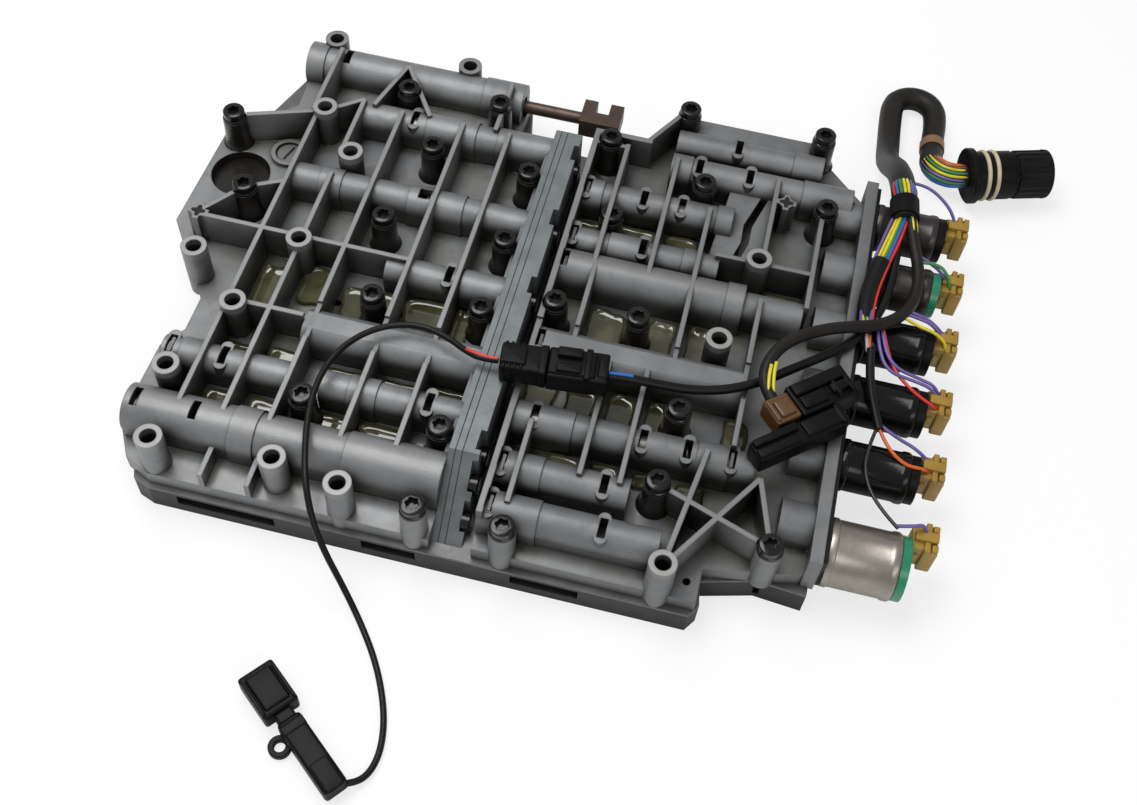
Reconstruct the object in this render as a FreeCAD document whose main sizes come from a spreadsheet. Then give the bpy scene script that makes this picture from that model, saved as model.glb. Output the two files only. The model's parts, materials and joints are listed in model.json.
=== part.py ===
"""Valve body of an automatic transmission, in millimetres.

X runs along the length, from the pump end to the solenoids. Y runs from the front
to the back, and Z points up from the lower housing's bottom face, which lies on z = 0.
The lower housing carries a separator plate and two ribbed upper castings. Their bores
run along X, and an end cover closes the left casting's bores.
"""
import FreeCAD, Part
import math
import os
import re
from types import SimpleNamespace

import Sketcher
from FreeCAD import Placement, Rotation, Vector

os.makedirs("parts", exist_ok=True)
doc = FreeCAD.newDocument("ValveBody")

# Driving dimensions
SIZES = {
    # levels above the bottom face
    "lower_height": 14.0,
    "plate_thick": 1.6,
    "deck_thick": 8.4,
    "tube_height": 23.0,
    "standoff_height": 17.5,
    "low_standoff": 13.0,
    "rib_height": 19.5,
    "back_tube_height": 15.5,
    "bore_rise": 8.5,
    "manual_rise": 3.5,
    "flat_top_height": 18.0,
    # castings
    "rib_thick": 2.4,
    "draft_step": 0.3,
    "wall": 3.0,
    "tube_radius": 6.4,
    "tube_hole": 3.8,
    "standoff_radius": 6.2,
    "small_hole": 1.8,
    "star_boss": 3.6,
    "star_lobe": 1.6,
    "ring_radius": 9.5,
    "ring_rise": 2.5,
    "pocket_radius": 15.5,
    "front_edge": -145.0,
    "back_edge": 145.0,
    "lower_step": 4.0,
    "lower_recess": 4.0,
    # ridges around the bores
    "ridge_small": 8.0,
    "ridge_medium": 8.5,
    "ridge_flat": 10.5,
    "ridge_big": 11.0,
    "ridge_front": 11.5,
    "ridge_manual": 11.0,
    "bore_radius": 5.5,
    "spool_clearance": 0.05,
    "slot_width": 3.6,
    "slot_length": 10.0,
    "slot_rim": 1.2,
    "slot_rim_rise": 7.2,
    "collar_step": 0.8,
    "plateau_height": 10.0,
    "shelf_height": 9.0,
    "window_size": 6.5,
    # rows of bores, from back to front
    "left_row_1": 128.5,
    "left_row_2": 91.5,
    "left_row_3": 39.5,
    "left_row_4": -6.5,
    "left_row_5": -52.5,
    "left_row_6": -81.5,
    "left_row_7": -115.5,
    "right_row_1": 119.0,
    "right_row_2": 99.5,
    "right_row_3": 69.5,
    "right_row_4": 37.0,
    "right_row_5": 17.5,
    "right_row_6": -33.0,
    "right_row_7": -75.0,
    "right_row_8": -103.0,
    "right_row_9": -125.0,
    # columns of ribs, from left to right
    "left_end": -200.0,
    "left_flank": -173.0,
    "column_1": -148.0,
    "column_2": -127.0,
    "column_3": -105.0,
    "column_4": -71.5,
    "column_5": -46.0,
    "cover_left": -22.0,
    "right_wall": -2.5,
    "column_6": 16.5,
    "column_7": 44.0,
    "column_8": 66.5,
    "column_9": 98.0,
    "column_10": 123.5,
    "flange_left": 144.0,
    "flange_thick": 6.0,
    # end cover, a stack of three plates with two gaskets
    "end_plate_thick": 2.9,
    "gasket_thick": 0.4,
    "cover_thick": 7.6,
    "strip_thick": 1.2,
    "cover_back": 97.0,
    "cover_front": -107.0,
    "cover_toe": -138.5,
    "cover_notch": 2.6,
    "cover_flange_height": 15.0,
    # screws
    "shank_radius": 3.0,
    "shank_clearance": 0.3,
    "thread_gap": 1.0,
    "head_radius": 5.7,
    "head_height": 5.5,
    "head_chamfer": 0.6,
    "collar_radius": 6.1,
    "collar_height": 1.2,
    "socket_radius": 2.7,
    "socket_depth": 3.0,
    "cover_shank": 2.0,
    "cover_head": 4.2,
    "cover_head_height": 4.4,
    # valves
    "spool_land": 9.0,
    "spool_neck": 3.4,
    "spring_room": 24.0,
    "spring_wire": 0.55,
    "spring_clearance": 0.6,
    "spring_turns": 4.0,
    "seat_gap": 0.3,
    "rod_radius": 3.4,
    "manual_reach": 80.0,
    "manual_land": 12.0,
    "manual_neck": 15.0,
    "rod_length": 49.5,
    "hook_length": 22.0,
    "hook_width": 17.0,
    "hook_height": 11.0,
    "hook_overlap": 4.0,
    "plug_length": 9.0,
    "clip_thick": 1.6,
    "clip_lift": 1.0,
    # solenoids
    "solenoid_rise": 3.0,
    "flange_front": -118.0,
    "flange_back": 114.0,
    "flange_rise": 13.0,
    "solenoid_first": 94.5,
    "solenoid_pitch": 37.7,
    "can_radius": 12.5,
    "can_length": 32.0,
    "big_can_radius": 16.0,
    "nose_radius": 8.0,
    "nose_length": 14.0,
    "big_can_drop": 3.0,
    "big_can_forward": 8.0,
    "end_cap_length": 4.0,
    "retainer_thick": 2.0,
    "plug_thick": 12.0,
    "plug_width": 15.0,
    "plug_height": 18.0,
    "plug_shift": 4.0,
    "plug_latch": 5.0,
    "plug_step": 1.5,
    # wiring and its connectors
    "inline_length": 50.0,
    "inline_width": 17.0,
    "inline_height": 12.0,
    "inline_joint": 3.0,
    "inline_latch": 3.0,
    "switch_length": 31.0,
    "switch_width": 17.0,
    "switch_height": 16.0,
    "socket_length": 48.0,
    "socket_width": 11.0,
    "socket_height": 13.0,
    "amber_length": 13.0,
    "amber_width": 14.0,
    "amber_height": 11.0,
    "lead_diameter": 3.0,
    "link_diameter": 4.5,
    "branch_diameter": 6.0,
    "loom_diameter": 13.0,
    "band_length": 18.0,
    "band_thick": 1.0,
    "clip_length": 7.0,
    "sensor_head": 24.0,
    "sensor_width": 17.0,
    "sensor_body": 38.0,
    "sensor_height": 12.0,
    "eyelet_radius": 5.0,
    "connector_radius": 16.0,
    "connector_barrel": 13.5,
    "connector_length": 46.0,
    "connector_flange": 5.0,
    "ring_thick": 2.6,
    "ring_depth": 2.0,
    "ring_proud": 0.8,
    "socket_wall": 3.0,
    "mouth_depth": 10.0,
}

sheet = doc.addObject("Spreadsheet::Sheet", "Sizes")
for row, (alias, number) in enumerate(SIZES.items(), start=1):
    sheet.set("A%d" % row, alias.replace("_", " "))
    sheet.set("B%d" % row, str(number))
    sheet.setAlias("B%d" % row, alias)
gauge = doc.addObject("Spreadsheet::Sheet", "Gauge")
doc.recompute()
S = SimpleNamespace(**{alias: float(sheet.get(alias)) for alias in SIZES})

# Levels that several pieces share, written as sums of the sheet's values
PLATE = "lower_height"
DECK = "(lower_height + plate_thick)"
FLOOR = "(lower_height + plate_thick + deck_thick)"
TUBE_TOP = FLOOR + " + tube_height"
BACK_TUBE_TOP = FLOOR + " + back_tube_height"
SEAT = FLOOR + " + standoff_height"
LOW_SEAT = FLOOR + " + low_standoff"
RIB_TOP = FLOOR + " + rib_height"
AXIS = FLOOR + " + bore_rise"
MANUAL_AXIS = FLOOR + " + manual_rise"
SOLENOID_AXIS = FLOOR + " + solenoid_rise"
COVER_RIGHT = "(cover_left + 2 * end_plate_thick + 2 * gasket_thick + cover_thick)"
FLANGE_RIGHT = "(flange_left + flange_thick)"
FLANGE_TOP = FLOOR + " + solenoid_rise + flange_rise"
CAN_LEFT = FLANGE_RIGHT + " + retainer_thick"
CAN_RIGHT = CAN_LEFT + " + can_length"
PLUG_LEFT = CAN_RIGHT + " + end_cap_length"
LAND_RADIUS = "(bore_radius - spool_clearance)"
SOLENOIDS = 6

floor_level = S.lower_height + S.plate_thick + S.deck_thick
axis_level = floor_level + S.bore_rise
cover_right = S.cover_left + 2 * S.end_plate_thick + 2 * S.gasket_thick + S.cover_thick


def cells(text):
    """Writes a sum of named sizes as an expression on the sheet."""
    def name(match):
        word = match.group(0)
        return "Sizes." + word if word in SIZES else word
    return re.sub(r"[a-z][a-z_0-9]*", name, str(text))


def tie(item, prop, text):
    """Binds one property of an object to named sizes."""
    item.setExpression(prop, cells(text))


def place(item, x, y, z):
    """Ties the place of an object to named sizes, and keeps its turn."""
    tie(item, "Placement.Base.x", x)
    tie(item, "Placement.Base.y", y)
    tie(item, "Placement.Base.z", z)


def block(name, x, y, z):
    """Makes a box between two values on each axis."""
    box = doc.addObject("Part::Box", name)
    tie(box, "Length", "(%s) - (%s)" % (x[1], x[0]))
    tie(box, "Width", "(%s) - (%s)" % (y[1], y[0]))
    tie(box, "Height", "(%s) - (%s)" % (z[1], z[0]))
    place(box, x[0], y[0], z[0])
    return box


def upright(name, x, y, z, radius):
    """Makes a cylinder that stands along Z."""
    rod = doc.addObject("Part::Cylinder", name)
    tie(rod, "Radius", radius)
    tie(rod, "Height", "(%s) - (%s)" % (z[1], z[0]))
    place(rod, x, y, z[0])
    return rod


def lengthwise(name, x, y, z, radius):
    """Makes a cylinder that lies along X."""
    rod = doc.addObject("Part::Cylinder", name)
    rod.Placement = Placement(Vector(), Rotation(Vector(0, 1, 0), 90))
    tie(rod, "Radius", radius)
    tie(rod, "Height", "(%s) - (%s)" % (x[1], x[0]))
    place(rod, x[0], y, z)
    return rod


def wall_between(name, start, end, z):
    """Makes a rib of the castings' thickness from one point of the plan to another."""
    across = "((%s) - (%s))" % (end[0], start[0])
    along = "((%s) - (%s))" % (end[1], start[1])
    span = "sqrt(%s^2 + %s^2)" % (across, along)
    wall = doc.addObject("Part::Box", name)
    wall.Placement = Placement(Vector(), Rotation(Vector(0, 0, 1), 10))
    tie(wall, "Length", span)
    tie(wall, "Width", "rib_thick")
    tie(wall, "Height", "(%s) - (%s)" % (z[1], z[0]))
    place(wall, "(%s) + rib_thick / 2 * %s / %s" % (start[0], along, span),
          "(%s) - rib_thick / 2 * %s / %s" % (start[1], across, span), z[0])
    tie(wall, "Placement.Rotation.Angle", "atan2(%s; %s)" % (along, across))
    return wall


def joined(name, items):
    """Fuses items into one casting."""
    if len(items) == 1:
        return items[0]
    union = doc.addObject("Part::MultiFuse", name)
    union.Shapes = items
    union.Refine = True
    return union


def carved(name, base, tools):
    """Cuts tools out of a base."""
    cut = doc.addObject("Part::Cut", name)
    cut.Base = base
    cut.Tool = joined(name + "_tools", tools)
    cut.Refine = False
    return cut


def body_with_outline(name, plane, points):
    """Makes a body and a closed sketch on one of its origin planes, with every corner tied."""
    body = doc.addObject("PartDesign::Body", name)
    sketch = body.newObject("Sketcher::SketchObject", name + "_outline")
    origin_plane = [item for item in body.Origin.OriginFeatures if item.Role == plane][0]
    sketch.AttachmentSupport = [(origin_plane, "")]
    sketch.MapMode = "FlatFace"
    count = len(points)
    guess = [Vector(measure(x), measure(y), 0) for x, y in points]
    for index in range(count):
        sketch.addGeometry(Part.LineSegment(guess[index], guess[(index + 1) % count]), False)
    for index in range(count):
        sketch.addConstraint(Sketcher.Constraint("Coincident", index, 2, (index + 1) % count, 1))
    for index, (x, y) in enumerate(points):
        for kind, value, text in (("DistanceX", guess[index].x, x), ("DistanceY", guess[index].y, y)):
            number = sketch.addConstraint(Sketcher.Constraint(kind, -1, 1, index, 1, value))
            sketch.setExpression("Constraints[%d]" % number, cells(text))
    return body, sketch


def measure(text):
    """Works out a sum of named sizes as a number, through a cell of a second sheet."""
    gauge.set("A1", "=" + cells(text))
    gauge.recompute()
    return float(gauge.get("A1"))


def padded(name, points, z):
    """Extrudes an outline in the XY plane from one level to another."""
    body, sketch = body_with_outline(name, "XY_Plane", points)
    pad = body.newObject("PartDesign::Pad", name + "_pad")
    pad.Profile = sketch
    tie(pad, "Length", "(%s) - (%s)" % (z[1], z[0]))
    place(body, "0", "0", z[0])
    return body


def turned(name, profile, x, y, z):
    """Turns a profile of (distance along X, radius) points about the X axis."""
    body, sketch = body_with_outline(name, "XZ_Plane", profile)
    turn = body.newObject("PartDesign::Revolution", name + "_turn")
    turn.Profile = sketch
    turn.ReferenceAxis = (sketch, ["H_Axis"])
    turn.Angle = 360.0
    place(body, x, y, z)
    return body


def fixed(name, shape):
    """Stores a shape that is built with plain geometry, such as a tube along a route."""
    item = doc.addObject("Part::Feature", name)
    item.Shape = shape
    return item


def grouped(name, items):
    """Gathers finished solids as one group of separate solids."""
    doc.recompute()
    return fixed(name, Part.makeCompound([item.Shape for item in items]))


def repeated(name, copies):
    """Copies master solids to their places, as one group of separate solids."""
    doc.recompute()
    shapes = []
    for master, spot in copies:
        shape = master.Shape.copy()
        shape.Placement = spot.multiply(shape.Placement)
        shapes.append(shape)
    return fixed(name, Part.makeCompound(shapes))


# Plan of the fasteners and tubes: x, y and, for the screws, the level of the seat
LEFT_SCREWS = (
    ("left_end + 11", "63.5", SEAT), ("left_end + 34", "17.5", SEAT),
    ("column_3 - 1", "106.5", SEAT), ("cover_left - 34", "109.5", SEAT),
    ("column_4 - 10.5", "69.5", SEAT), ("cover_left - 7", "65.5", SEAT),
    ("column_3 + 13", "16.5", SEAT), ("cover_left - 7.5", "18.5", SEAT),
    ("column_4 - 10.5", "left_row_4 - 26", SEAT), ("cover_left - 7.5", "left_row_4 - 19.5", SEAT),
    ("column_3 + 10", "left_row_6 - 14.5", SEAT), ("cover_left - 7.5", "left_row_6 - 14.5", SEAT),
    ("cover_left - 7.5", "front_edge + 6.5", SEAT),
)
RIGHT_SCREWS = (
    ("right_wall + 9.5", "101.5", SEAT), ("column_7", "133.5", SEAT),
    ("column_10 - 6", "134.5", SEAT), ("column_8 - 5.5", "right_row_2 - 16", SEAT),
    ("column_6 + 1.5", "right_row_3 - 16.5", LOW_SEAT), ("column_10 + 1.5", "83.5", SEAT),
    ("right_wall + 6.5", "right_row_5 - 29.5", SEAT), ("column_7 + 1", "right_row_5 - 29", SEAT),
    ("column_8 + 7.5", "right_row_7 + 17", SEAT), ("column_8 + 5.5", "right_row_8 + 4.5", SEAT),
    ("right_wall + 13.5", "front_edge + 6.5", SEAT), ("column_10 + 2.5", "-117.5", SEAT),
)
LEFT_TUBES = (
    ("column_1 - 10", "back_edge - 6.4", BACK_TUBE_TOP), ("column_4 - 9.5", "back_edge - 6.4", BACK_TUBE_TOP),
    ("column_1 + 4", "79.5", TUBE_TOP), ("column_2 + 6", "left_row_3 + 13", TUBE_TOP),
    ("left_flank - 1", "-28.5", TUBE_TOP), ("column_2", "-9.5", TUBE_TOP),
    ("column_1 + 4", "left_row_5 - 2", TUBE_TOP), ("column_1 - 12", "left_row_6 - 15.5", TUBE_TOP),
    ("column_1 - 4", "left_row_7 - 20.5", TUBE_TOP), ("column_3 + 9", "left_row_7 - 16.5", TUBE_TOP),
    ("column_4 + 7.5", "left_row_7 - 21.5", TUBE_TOP),
)
RIGHT_TUBES = (
    ("column_9 - 2", "right_row_4 + 2.5", TUBE_TOP), ("column_9 - 13", "right_row_5 - 32", TUBE_TOP),
    ("column_9 - 16", "front_edge + 6.4", TUBE_TOP),
)

LEFT_OUTLINE = (
    ("column_1 - 22", "back_edge - 10"), ("left_flank + 5", "98"), ("left_end + 2", "68"),
    ("left_end", "2"), ("left_flank + 4", "-42"), ("left_flank + 4", "-62"), ("left_flank - 4", "-74"),
    ("left_flank - 5", "-118"), ("left_flank + 6", "front_edge + 8"), ("left_flank + 18", "front_edge + 2.5"),
    ("cover_left", "front_edge + 2.5"), ("cover_left", "left_row_2 + ridge_medium + 3.5"),
    ("column_5 + 1", "left_row_2 + ridge_medium + 3.5"), ("column_5 + 1", "back_edge - 10"),
)
RIGHT_OUTLINE = (
    ("right_wall", "108"), ("column_6 + 10", "110"), ("column_6 + 17", "back_edge - 8"),
    ("column_7", "back_edge - 5"), ("column_9 + 20", "back_edge - 5"), ("flange_left", "113"),
    ("flange_left", "-117"), ("column_9 + 2", "-125"), ("column_9 + 2", "front_edge + 3"),
    ("right_wall", "front_edge + 3"),
)
LOWER_OUTLINE = (
    ("column_1 - 22", "back_edge - 8"), ("left_end + 6", "64"), ("left_end + 4", "4"), ("left_flank + 2", "-40"),
    ("left_flank - 1", "-116"), ("left_flank + 10", "front_edge + 3"), ("left_flank + 18", "front_edge"),
    ("column_9", "front_edge"), ("column_9 + 4", "front_edge + 6"), ("column_9 + 2", "-127"),
    ("column_10 + 2", "-120"), ("flange_left + 4", "-122"), ("flange_left + 4", "108"),
    ("column_9 + 20", "back_edge - 8"), ("column_6 + 18", "back_edge - 8"), ("column_6 + 8", "112"),
    ("column_5 + 6", "112"), ("column_5 + 2", "back_edge - 8"),
)

# Ridges over the bores: first x, last x, row, height of the axis, radius
LEFT_RIDGES = (
    ("column_1 - 22", "column_5 - 1", "left_row_1", MANUAL_AXIS, "ridge_manual"),
    ("column_2", "cover_left", "left_row_2", AXIS, "ridge_medium"),
    ("column_1", "cover_left", "left_row_3", AXIS, "ridge_medium"),
    ("column_3 + 22", "cover_left", "left_row_4", AXIS, "ridge_small"),
    ("column_3 - 4", "cover_left", "left_row_5", AXIS, "ridge_flat"),
    ("left_flank + 4", "column_3 - 2", "left_row_6", AXIS, "ridge_small"),
    ("column_3 + 14", "cover_left", "left_row_6", AXIS, "ridge_small"),
    ("left_flank + 1", "cover_left", "left_row_7", AXIS, "ridge_front"),
    ("column_1 - 22", "column_1 - 12", "left_row_1", MANUAL_AXIS, "ridge_manual + collar_step"),
    ("column_4 + 2", "column_5 - 1", "left_row_1", MANUAL_AXIS, "ridge_manual + collar_step"),
    ("column_3 + 14", "column_4 + 8", "left_row_2", AXIS, "ridge_medium + collar_step"),
    ("column_5 - 6", "cover_left", "left_row_2", AXIS, "ridge_medium + collar_step"),
    ("column_2 - 6", "column_2 + 6", "left_row_3", AXIS, "ridge_medium + collar_step"),
    ("column_4 - 14", "column_5 - 10", "left_row_3", AXIS, "ridge_medium + collar_step"),
    ("column_5 + 2", "cover_left", "left_row_4", AXIS, "ridge_small + collar_step"),
    ("column_1 - 12", "column_1 - 2", "left_row_6", AXIS, "ridge_small + collar_step"),
    ("column_4 - 6", "column_4 + 8", "left_row_6", AXIS, "ridge_small + collar_step"),
    ("column_2 + 6", "column_3 - 4", "left_row_7", AXIS, "ridge_front + collar_step"),
    ("column_4 + 4", "cover_left", "left_row_7", AXIS, "ridge_front + collar_step"),
)
RIGHT_RIDGES = (
    ("column_7 - 3", "column_9 + 22", "right_row_1", AXIS, "ridge_small"),
    ("column_7 - 3", "flange_left - 6", "right_row_2", AXIS, "ridge_medium"),
    ("right_wall", "column_8 + 12.5", "right_row_3", AXIS, "ridge_medium"),
    ("right_wall", "column_8 + 10.5", "right_row_4", AXIS, "ridge_small"),
    ("right_wall", "column_9 - 5", "right_row_5", AXIS, "ridge_big"),
    ("column_9 - 6", "column_10 - 1", "right_row_5", AXIS, "ridge_medium"),
    ("right_wall", "column_9 + 4", "right_row_6", AXIS, "ridge_flat"),
    ("right_wall", "column_10 - 10", "right_row_7", AXIS, "ridge_medium"),
    ("right_wall", "column_8 - 6", "right_row_8", AXIS, "ridge_medium"),
    ("right_wall", "column_8 + 12.5", "right_row_9", AXIS, "ridge_medium"),
    ("column_9 + 6", "column_9 + 22", "right_row_1", AXIS, "ridge_small + collar_step"),
    ("column_7 - 3", "column_7 + 8", "right_row_2", AXIS, "ridge_medium + collar_step"),
    ("column_10 - 12", "flange_left - 6", "right_row_2", AXIS, "ridge_medium + collar_step"),
    ("right_wall", "column_6 - 6", "right_row_3", AXIS, "ridge_medium + collar_step"),
    ("column_8 + 4", "column_8 + 12.5", "right_row_3", AXIS, "ridge_medium + collar_step"),
    ("column_6 + 4", "column_7 - 4", "right_row_4", AXIS, "ridge_small + collar_step"),
    ("column_8 - 8", "column_8 + 2", "right_row_4", AXIS, "ridge_small + collar_step"),
    ("column_9 - 14", "column_9 - 5", "right_row_5", AXIS, "ridge_big + collar_step"),
    ("right_wall", "column_6 + 12", "right_row_7", AXIS, "ridge_medium + collar_step"),
    ("column_8 + 20", "column_9 + 4", "right_row_7", AXIS, "ridge_medium + collar_step"),
    ("right_wall", "column_6 + 4", "right_row_8", AXIS, "ridge_medium + collar_step"),
    ("right_wall", "column_6 + 8", "right_row_9", AXIS, "ridge_medium + collar_step"),
)
# Raised floor on both sides of a crooked oil channel
CHANNEL_LEFT = (
    ("column_8 + 8", "right_row_2 - 8"), ("column_9 - 7", "right_row_2 - 8"), ("column_9 - 13", "right_row_3 + 1"),
    ("column_9 - 12.5", "right_row_3 - 11"), ("column_9 - 17", "right_row_4 + 4"),
    ("column_8 + 4", "right_row_4 + 4"),
)
CHANNEL_RIGHT = (
    ("column_9 - 3", "right_row_2 - 8"), ("column_9", "right_row_2 - 8"), ("column_9", "right_row_4 + 4"),
    ("column_9 - 13", "right_row_4 + 4"), ("column_9 - 8.5", "right_row_3 - 11"),
    ("column_9 - 8.5", "right_row_3 + 1"),
)

# Ribs along Y: column, then the plan's y at both ends
LEFT_RIBS = (
    ("column_1", "left_row_3", "80"), ("column_1", "left_row_6", "left_row_3"),
    ("column_1", "left_row_7", "left_row_6"),
    ("column_2", "left_row_3 + 13", "94"), ("column_2", "left_row_7", "left_row_3"),
    ("column_3", "left_row_3", "left_row_2"), ("column_3", "left_row_7", "left_row_3"),
    ("column_4", "left_row_3", "left_row_2"), ("column_4", "left_row_4", "left_row_3"),
    ("column_4", "left_row_5", "left_row_4"), ("column_4", "left_row_7", "left_row_5"),
    ("column_5", "left_row_3", "left_row_2"), ("column_5", "left_row_5", "left_row_3"),
    ("column_5", "left_row_7", "left_row_5"),
    ("column_5 - 8", "left_row_2", "left_row_1"), ("column_1 - 3", "79.5", "left_row_1"),
)
FRONT_RIBS = (
    ("column_2 - 1", "front_edge + 2.5", "left_row_7"), ("column_3 - 1", "front_edge + 2.5", "left_row_7"),
)
RIGHT_RIBS = (
    ("column_6", "right_row_3", "101"), ("column_7", "right_row_3", "right_row_2"),
    ("column_7", "right_row_5", "right_row_3"), ("column_8", "right_row_5", "right_row_3"),
    ("column_9", "right_row_4", "right_row_2"), ("column_10", "right_row_5", "83"),
    ("column_6", "right_row_5", "right_row_3"), ("column_6 + 1", "right_row_6", "right_row_5"),
    ("column_8", "right_row_6", "right_row_5"), ("column_7 - 7", "right_row_8", "right_row_6"),
    ("column_8 - 11", "right_row_8", "right_row_6"), ("column_9 + 4", "right_row_7", "right_row_6"),
    ("column_6 - 7", "right_row_9", "right_row_7"), ("column_9 + 3", "right_row_6", "right_row_5"),
)
# Ribs along X: row, then both ends
LEFT_CROSS_RIBS = (
    ("left_row_4 + 1", "left_end + 18", "column_4"), ("left_row_5 + 1", "column_1 + 4", "column_3"),
)
RIGHT_CROSS_RIBS = (
    ("99", "right_wall", "column_6"), ("right_row_4 + 2.5", "column_8 + 8", "column_10"),
)
# Slanted ribs between two points of the plan
LEFT_SLANTED = (
    (("left_end + 11", "63.5"), ("column_1 + 4", "80.5")), (("column_1 + 4", "80.5"), ("column_2", "94")),
    (("left_end + 18", "-4"), ("left_end + 34", "17.5")), (("left_end + 34", "17.5"), ("column_1", "27")),
    (("column_3 - 16", "left_row_2"), ("column_3 - 7", "left_row_1 - 3")),
    (("column_3 - 7", "left_row_1 - 3"), ("column_3 + 15", "left_row_2")),
)
RIGHT_SLANTED = (
    (("column_9 - 16", "front_edge + 6.4"), ("column_10 - 7", "right_row_7 - 9")),
    (("column_10 + 2.5", "-117.5"), ("column_8 + 5.5", "right_row_8 + 4.5")),
    (("column_10 + 2.5", "-117.5"), ("column_10 - 7", "right_row_7 - 9")),
    (("column_9 - 16", "front_edge + 6.4"), ("column_9 - 7", "right_row_7")),
)

# Bores: first x, last x, row
LEFT_BORES = (
    ("column_2 + 6", "cover_left + 1", "left_row_2"), ("column_1 + 6", "cover_left + 1", "left_row_3"),
    ("column_4 - 4", "cover_left + 1", "left_row_4"), ("column_3 + 4", "cover_left + 1", "left_row_5"),
    ("column_3 + 20", "cover_left + 1", "left_row_6"), ("left_flank", "column_2 - 8", "left_row_6"),
    ("column_3 + 8", "cover_left + 1", "left_row_7"), ("left_flank", "column_2 - 8", "left_row_7"),
)
RIGHT_BORES = (
    ("column_7 + 4", "column_9 + 24", "right_row_1"), ("column_7 + 4", "flange_left - 5", "right_row_2"),
    ("right_wall - 1", "column_8 + 7", "right_row_3"), ("right_wall - 1", "column_8 + 4", "right_row_4"),
    ("right_wall - 1", "column_9 - 10", "right_row_5"), ("right_wall - 1", "column_9 - 2", "right_row_6"),
    ("column_6 - 10", "column_10 - 9", "right_row_7"), ("right_wall - 1", "column_8 - 12", "right_row_8"),
    ("right_wall - 1", "column_8 + 6", "right_row_9"),
)
# Slots across the ridges: x, row
LEFT_SLOTS = (
    ("column_3 + 7", "left_row_2"), ("column_5 - 5", "left_row_4"), ("left_flank + 8", "left_row_6"),
    ("column_2 - 12", "left_row_6"), ("column_5 + 7", "left_row_6"), ("left_flank + 6", "left_row_7"),
    ("column_2 - 12", "left_row_7"),
)
RIGHT_SLOTS = (
    ("column_7 + 30", "right_row_1"), ("column_7 + 12", "right_row_2"), ("column_8 + 16.5", "right_row_2"),
    ("right_wall + 4.5", "right_row_3"), ("column_7 - 12", "right_row_3"), ("column_7 + 8", "right_row_3"),
    ("right_wall + 4.5", "right_row_4"), ("column_7 - 6", "right_row_4"), ("right_wall + 4.5", "right_row_5"),
    ("right_wall + 4.5", "right_row_6"), ("column_6 - 6.5", "right_row_7"), ("column_8 - 5.5", "right_row_7"),
    ("column_8 + 15.5", "right_row_7"), ("column_9 + 4.5", "right_row_7"), ("right_wall + 4.5", "right_row_8"),
    ("column_7 + 5", "right_row_8"), ("right_wall + 4.5", "right_row_9"), ("column_7 + 9", "right_row_9"),
)
# End slots that hold a clip and a bore plug: x of the slot, row, side of the mouth
CLIPPED = (
    ("left_flank + 8", "left_row_6"), ("left_flank + 6", "left_row_7"), ("right_wall + 4.5", "right_row_3"),
    ("right_wall + 4.5", "right_row_4"), ("right_wall + 4.5", "right_row_5"), ("right_wall + 4.5", "right_row_6"),
    ("right_wall + 4.5", "right_row_8"), ("right_wall + 4.5", "right_row_9"), ("column_9 + 4.5", "right_row_7"),
)


def solenoid_row(number):
    """Row of one solenoid, counted from the back."""
    return "(solenoid_first - %d * solenoid_pitch)" % number


def ridge_solids(side, ridges):
    """Makes each ridge as a round top over straight, slightly drawn-in walls."""
    solids = []
    for number, (first, last, row, axis, radius) in enumerate(ridges, start=1):
        name = "%s_ridge_%d" % (side, number)
        wall = "(%s - draft_step)" % radius
        solids.append(lengthwise(name, (first, last), row, axis, radius))
        solids.append(block(name + "_walls", (first, last),
                            ("%s - %s" % (row, wall), "%s + %s" % (row, wall)), (DECK, axis)))
    return solids


def rib_solids(side, ribs, top):
    """Makes the ribs that run along Y."""
    solids = []
    for number, (column, front, back) in enumerate(ribs, start=1):
        x = ("%s - rib_thick / 2" % column, "%s + rib_thick / 2" % column)
        solids.append(block("%s_rib_%d" % (side, number), x, (front, back), (DECK, top)))
    return solids


def cross_rib_solids(side, ribs):
    """Makes the ribs that run along X."""
    solids = []
    for number, (row, first, last) in enumerate(ribs, start=1):
        y = ("%s - rib_thick / 2" % row, "%s + rib_thick / 2" % row)
        solids.append(block("%s_cross_rib_%d" % (side, number), (first, last), y, (DECK, RIB_TOP)))
    return solids


def post_solids(side, tubes, screws):
    """Makes the open tubes and the standoffs under the screws."""
    solids = []
    for number, (x, y, top) in enumerate(tubes, start=1):
        solids.append(upright("%s_tube_%d" % (side, number), x, y, (DECK, top), "tube_radius"))
    for number, (x, y, seat) in enumerate(screws, start=1):
        solids.append(upright("%s_standoff_%d" % (side, number), x, y, (DECK, seat), "standoff_radius"))
    return solids


def star_solids(name, x, y):
    """Makes a boss with four lobes."""
    reach = "(star_boss + star_lobe)"
    return [upright(name, x, y, (DECK, RIB_TOP), "star_boss"),
            block(name + "_long_lobes", ("%s - %s" % (x, reach), "%s + %s" % (x, reach)),
                  ("%s - star_lobe" % y, "%s + star_lobe" % y), (DECK, RIB_TOP)),
            block(name + "_cross_lobes", ("%s - star_lobe" % x, "%s + star_lobe" % x),
                  ("%s - %s" % (y, reach), "%s + %s" % (y, reach)), (DECK, RIB_TOP))]


def slot_rims(side, slots):
    """Makes the half-round rims that stand at both ends of each slot."""
    solids = []
    for number, (x, row) in enumerate(slots, start=1):
        for end, way in (("front", "-"), ("back", "+")):
            solids.append(upright("%s_%s_rim_%d" % (side, end, number), x, "%s %s slot_length / 2" % (row, way),
                                  (DECK, AXIS + " + slot_rim_rise"), "slot_width / 2 + slot_rim"))
    return solids


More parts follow.
